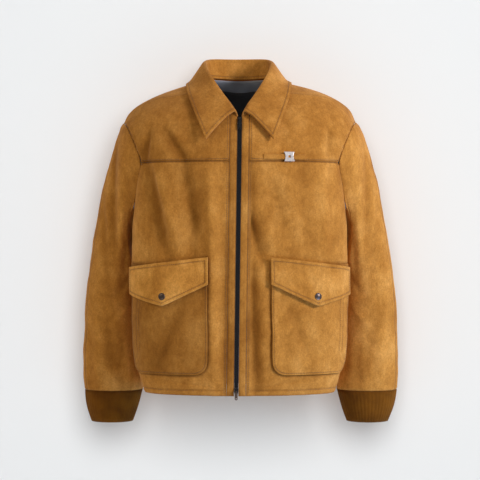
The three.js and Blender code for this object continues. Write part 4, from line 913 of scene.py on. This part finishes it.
def stitches(name, places):
    """One object with a small rounded grain for each stitch."""
    grain = bmesh.new()
    bmesh.ops.create_icosphere(grain, subdivisions=1, radius=0.5)
    template = bpy.data.meshes.new("grain")
    grain.to_mesh(template)
    grain.free()
    bm = bmesh.new()
    for place, along, normal in places:
        across = normal.cross(along).normalized()
        along = across.cross(normal).normalized()
        height = normal * STITCH_WIDTH * STITCH_HEIGHT
        turn = Matrix((along * STITCH_LENGTH, across * STITCH_WIDTH, height)).transposed().to_4x4()
        turn.translation = place + normal * STITCH_WIDTH * STITCH_PROUD
        start = len(bm.verts)
        bm.from_mesh(template)
        bm.verts.ensure_lookup_table()
        bmesh.ops.transform(bm, matrix=turn, verts=bm.verts[start:])
    for face in bm.faces:
        face.smooth = True
    bmesh.ops.recalc_face_normals(bm, faces=bm.faces)
    piece = new_object(name, bm, thread)
    bpy.data.meshes.remove(template)
    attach(piece, "jacket")
    print(f"{name}: {len(places)} stitches")


# %% Topstitching, seam by seam
for panel in PANELS:
    node = panel["node"]
    rows = STITCH_ROWS.get(panel["kind"], [])
    places = [place for inset, keep, _ in rows for place in sewn_line(pieces[node], inset, keep)]
    if places:
        stitches(f"{node}_stitches", places)

# %% [markdown]
# ## The zip
#
# Two rows of metal teeth mesh on a dark tape. One small block, repeated, gives the teeth; each row
# is set half a pitch from the other, so that they mesh as real ones do.

# %% Teeth along the centre front
TOOTH_PITCH = 0.0036
TOOTH = (0.0050, 0.0022, 0.0024)
# How far a tooth stands to its own side, and how deep it is bedded in the chain
TOOTH_ASIDE, TOOTH_BED = 0.0017, 0.0009


def chain_line():
    """The middle of the chain's front from bottom to top: the frame's strip has four points a row."""
    bm = merged_copy("zip_chain")
    places = sorted((vertex.co.copy() for vertex in bm.verts), key=lambda co: co.z)
    bm.free()
    line = []
    for k in range(0, len(places) - 3, 4):
        front = sorted(places[k:k + 4], key=lambda co: co.y)[:2]
        line.append((front[0] + front[1]) / 2)
    return line


def zip_teeth():
    line = chain_line()
    bm = bmesh.new()
    travelled, count = 0.0, 0
    for here, there in zip(line, line[1:]):
        length = (there - here).length
        if length < TINY:
            continue
        up = (there - here) / length
        out = Vector((0, -up.z, up.y))
        while travelled < length:
            place = here.lerp(there, travelled / length)
            side = 1 if count % 2 else -1
            turn = Matrix(((1, 0, 0), -out, up)).transposed().to_4x4()
            turn.translation = place + Vector((side * TOOTH_ASIDE, 0, 0)) + out * -TOOTH_BED
            made = bmesh.ops.create_cube(bm, size=1.0)["verts"]
            bmesh.ops.transform(bm, matrix=turn @ Matrix.Diagonal((*TOOTH, 1)), verts=made)
            travelled += TOOTH_PITCH / 2
            count += 1
        travelled -= length
    piece = new_object("zip_teeth", bm, teeth_metal)
    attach(piece, "jacket")
    print("zip:", count, "teeth")


zip_teeth()
for chain_slot in nodes["zip_chain"].material_slots:
    chain_slot.material = tape_cloth

# %% [markdown]
# ## Metal parts
#
# A hard edge on real metal always carries a fine highlight. The sliders, pulls and keeper are
# copies of their solids with a small bevel on every sharp edge.

# %% Bevelled copies of the hard parts
HARD = {
    "zip_slider_top": ("jacket", black_metal, 0.0004),
    "zip_slider_bottom": ("jacket", black_metal, 0.0004),
    "zip_pull_top": ("pull_top", black_metal, 0.0003),
    "zip_pull_bottom": ("pull_bottom", gunmetal, 0.0003),
    "chest_keeper": ("jacket", polished, 0.0009),
}
SHARP_ANGLE = math.radians(40)


def middle_of(node):
    low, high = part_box(node)
    return (Vector(low) + Vector(high)) / 2


for node, (body, material, width) in HARD.items():
    bm = welded(node)
    bmesh.ops.dissolve_limit(bm, angle_limit=math.radians(3), verts=bm.verts, edges=bm.edges)
    if node == "chest_keeper":
        bmesh.ops.translate(bm, verts=bm.verts, vec=moved(middle_of(node)))
    sharp = [edge for edge in bm.edges
             if len(edge.link_faces) == 2 and edge.calc_face_angle() > SHARP_ANGLE]
    bmesh.ops.bevel(bm, geom=sharp, offset=width, offset_type="OFFSET", affect="EDGES", segments=2,
                    profile=0.5, material=-1, clamp_overlap=True)
    piece = new_object(node + "_metal", bm, material)
    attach(piece, body)
    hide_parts(node)
    print(node, "edges bevelled:", len(sharp))


# %% Snap caps: a turned disc with a rolled rim
SNAP_PROFILE = [(0.0, 0.0026), (0.0030, 0.0025), (0.0046, 0.0021), (0.0052, 0.0017), (0.0058, 0.0021),
                (0.0067, 0.0025), (0.0073, 0.0020), (0.0075, 0.0010), (0.0070, 0.0001), (0.0, 0.0001)]
SNAP_RISE = 0.0030
SNAP_STEPS = 40
for side_name in SIDES:
    node = f"snap_cap_{side_name}"
    points = np.array(points_of([node]))
    points -= points.mean(axis=0)
    _, _, directions = np.linalg.svd(points)
    out = Vector(directions[2])
    if out.y > 0:
        out = -out
    middle = middle_of(node)
    seat = middle + out * float((points @ np.array(out)).min()) + moved(middle)
    seat.y -= SNAP_RISE
    bm = bmesh.new()
    profile = [bm.verts.new((radius, 0, height)) for radius, height in SNAP_PROFILE]
    rim = [bm.edges.new(pair) for pair in zip(profile, profile[1:])]
    bmesh.ops.spin(bm, geom=profile + rim, cent=(0, 0, 0), axis=(0, 0, 1), angle=math.tau,
                   steps=SNAP_STEPS, use_merge=True, use_duplicate=False)
    bmesh.ops.remove_doubles(bm, verts=bm.verts, dist=TINY)
    bmesh.ops.recalc_face_normals(bm, faces=bm.faces)
    turn = out.to_track_quat("Z", "Y").to_matrix().to_4x4()
    turn.translation = seat
    bmesh.ops.transform(bm, matrix=turn, verts=bm.verts)
    for face in bm.faces:
        face.smooth = True
    piece = new_object(f"snap_{side_name}", bm, gunmetal)
    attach(piece, "jacket")
    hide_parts(node)
    print(node, "looks towards", [round(v, 2) for v in out])

for row in PANELS:
    node = row["node"]
print("sheets declared:", len(PANELS))

# %% [markdown]
# ## Backdrop, light and camera
#
# The photograph is a shop picture: the jacket hangs just before a white wall, lit from the upper
# right. The wall has a lamp of its own beside the camera, whose soft shadow falls below and to the
# left. A weak cool lamp low on the right is the light that a pale floor throws back. The camera
# stands three metres away, level.

# %% Backdrop and floor
WALL_Y = 0.170
FLOOR_Z = -1.5


def studio_white(name, colour):
    """A matt white that is seen from its lit side only, so that other views look through it."""
    material, tree, shader = new_material(name)
    shader.inputs["Base Color"].default_value = colour
    shader.inputs["Roughness"].default_value = 0.9
    clear = tree.nodes.new("ShaderNodeBsdfTransparent")
    mix = tree.nodes.new("ShaderNodeMixShader")
    facing = tree.nodes.new("ShaderNodeNewGeometry")
    tree.links.new(facing.outputs["Backfacing"], mix.inputs["Fac"])
    tree.links.new(shader.outputs["BSDF"], mix.inputs[1])
    tree.links.new(clear.outputs["BSDF"], mix.inputs[2])
    tree.links.new(mix.outputs["Shader"], tree.nodes["Material Output"].inputs["Surface"])
    return material


def stage_plane(name, size, turn, place, material):
    """A square that the picture needs and the jacket doesn't own."""
    bm = bmesh.new()
    bmesh.ops.create_grid(bm, x_segments=2, y_segments=2, size=size)
    bmesh.ops.rotate(bm, verts=bm.verts, matrix=Matrix.Rotation(turn, 3, "X"))
    bmesh.ops.translate(bm, verts=bm.verts, vec=place)
    plane = new_object(name, bm, material)
    print(name, "at", place)


WALL_SIZE = 3.0
stage_plane("backdrop", WALL_SIZE, math.radians(90), (0, WALL_Y, FLOOR_Z + WALL_SIZE),
            studio_white("white_wall", (0.79, 0.806, 0.814, 1)))
stage_plane("floor", 2 * WALL_SIZE, 0.0, (0, 0, FLOOR_Z),
            studio_white("pale_floor", (0.86, 0.86, 0.87, 1)))


# %% Lights
def area_light(name, place, target, size, power, colour=(1, 1, 1)):
    light = bpy.data.lights.new(name, "AREA")
    light.shape = "DISK"
    light.size = size
    light.energy = power
    light.color = colour
    lamp = bpy.data.objects.new(name, light)
    lamp.location = place
    direction = Vector(target) - Vector(place)
    lamp.rotation_euler = direction.to_track_quat("-Z", "Y").to_euler()
    bpy.context.scene.collection.objects.link(lamp)
    return lamp


MIDDLE = (0, 0, -0.33)
key = area_light("key", (2.5, -1.7, 0.60), MIDDLE, 0.8, 75, (1.0, 0.99, 1.06))
fill = area_light("fill", (-2.4, -1.3, 0.9), MIDDLE, 0.9, 15, (1.0, 0.88, 0.62))
bounce = area_light("bounce", (1.3, -0.9, -1.25), (0, -0.1, -0.5), 0.9, 10, (0.05, 0.5, 1.5))
wall_light = area_light("wall_light", (0.22, -3.2, 0.46), (0, WALL_Y, -0.33), 2.1, 88)
behind = area_light("behind", (0.6, 2.6, 0.9), MIDDLE, 2.0, 60)

# A shop photographer lights the wall and the jacket apart, so each lamp has its own receivers
jacket_only = bpy.data.collections.new("jacket_only")
wall_only = bpy.data.collections.new("wall_only")
for thing in bpy.context.scene.objects:
    if thing.type == "MESH":
        (wall_only if thing.name in ("backdrop", "floor") else jacket_only).objects.link(thing)
for light in (key, fill, bounce, behind):
    light.light_linking.receiver_collection = jacket_only
behind.light_linking.blocker_collection = jacket_only
wall_light.light_linking.receiver_collection = wall_only
print("lamps:", [lamp.name for lamp in (key, fill, bounce, wall_light, behind)])
world = bpy.data.worlds.new("studio")
world.use_nodes = True
world.node_tree.nodes["Background"].inputs["Color"].default_value = (1, 1, 1, 1)
world.node_tree.nodes["Background"].inputs["Strength"].default_value = 0.33
bpy.context.scene.world = world
bpy.context.scene.view_settings.view_transform = "Standard"

# %% Camera
CAMERA_DISTANCE = 3.0
PIXEL = 0.00215
FRAME_PIXELS = 480
SENSOR_WIDTH = 36
camera_data = bpy.data.cameras.new("camera")
camera_data.sensor_width = SENSOR_WIDTH
camera_data.lens = SENSOR_WIDTH * CAMERA_DISTANCE / (FRAME_PIXELS * PIXEL)
camera = bpy.data.objects.new("camera", camera_data)
camera.location = (0.0005, -CAMERA_DISTANCE, -0.327)
camera.rotation_euler = (math.radians(90), 0, 0)
bpy.context.scene.collection.objects.link(camera)
bpy.context.scene.camera = camera
print("camera lens", round(camera_data.lens, 2))
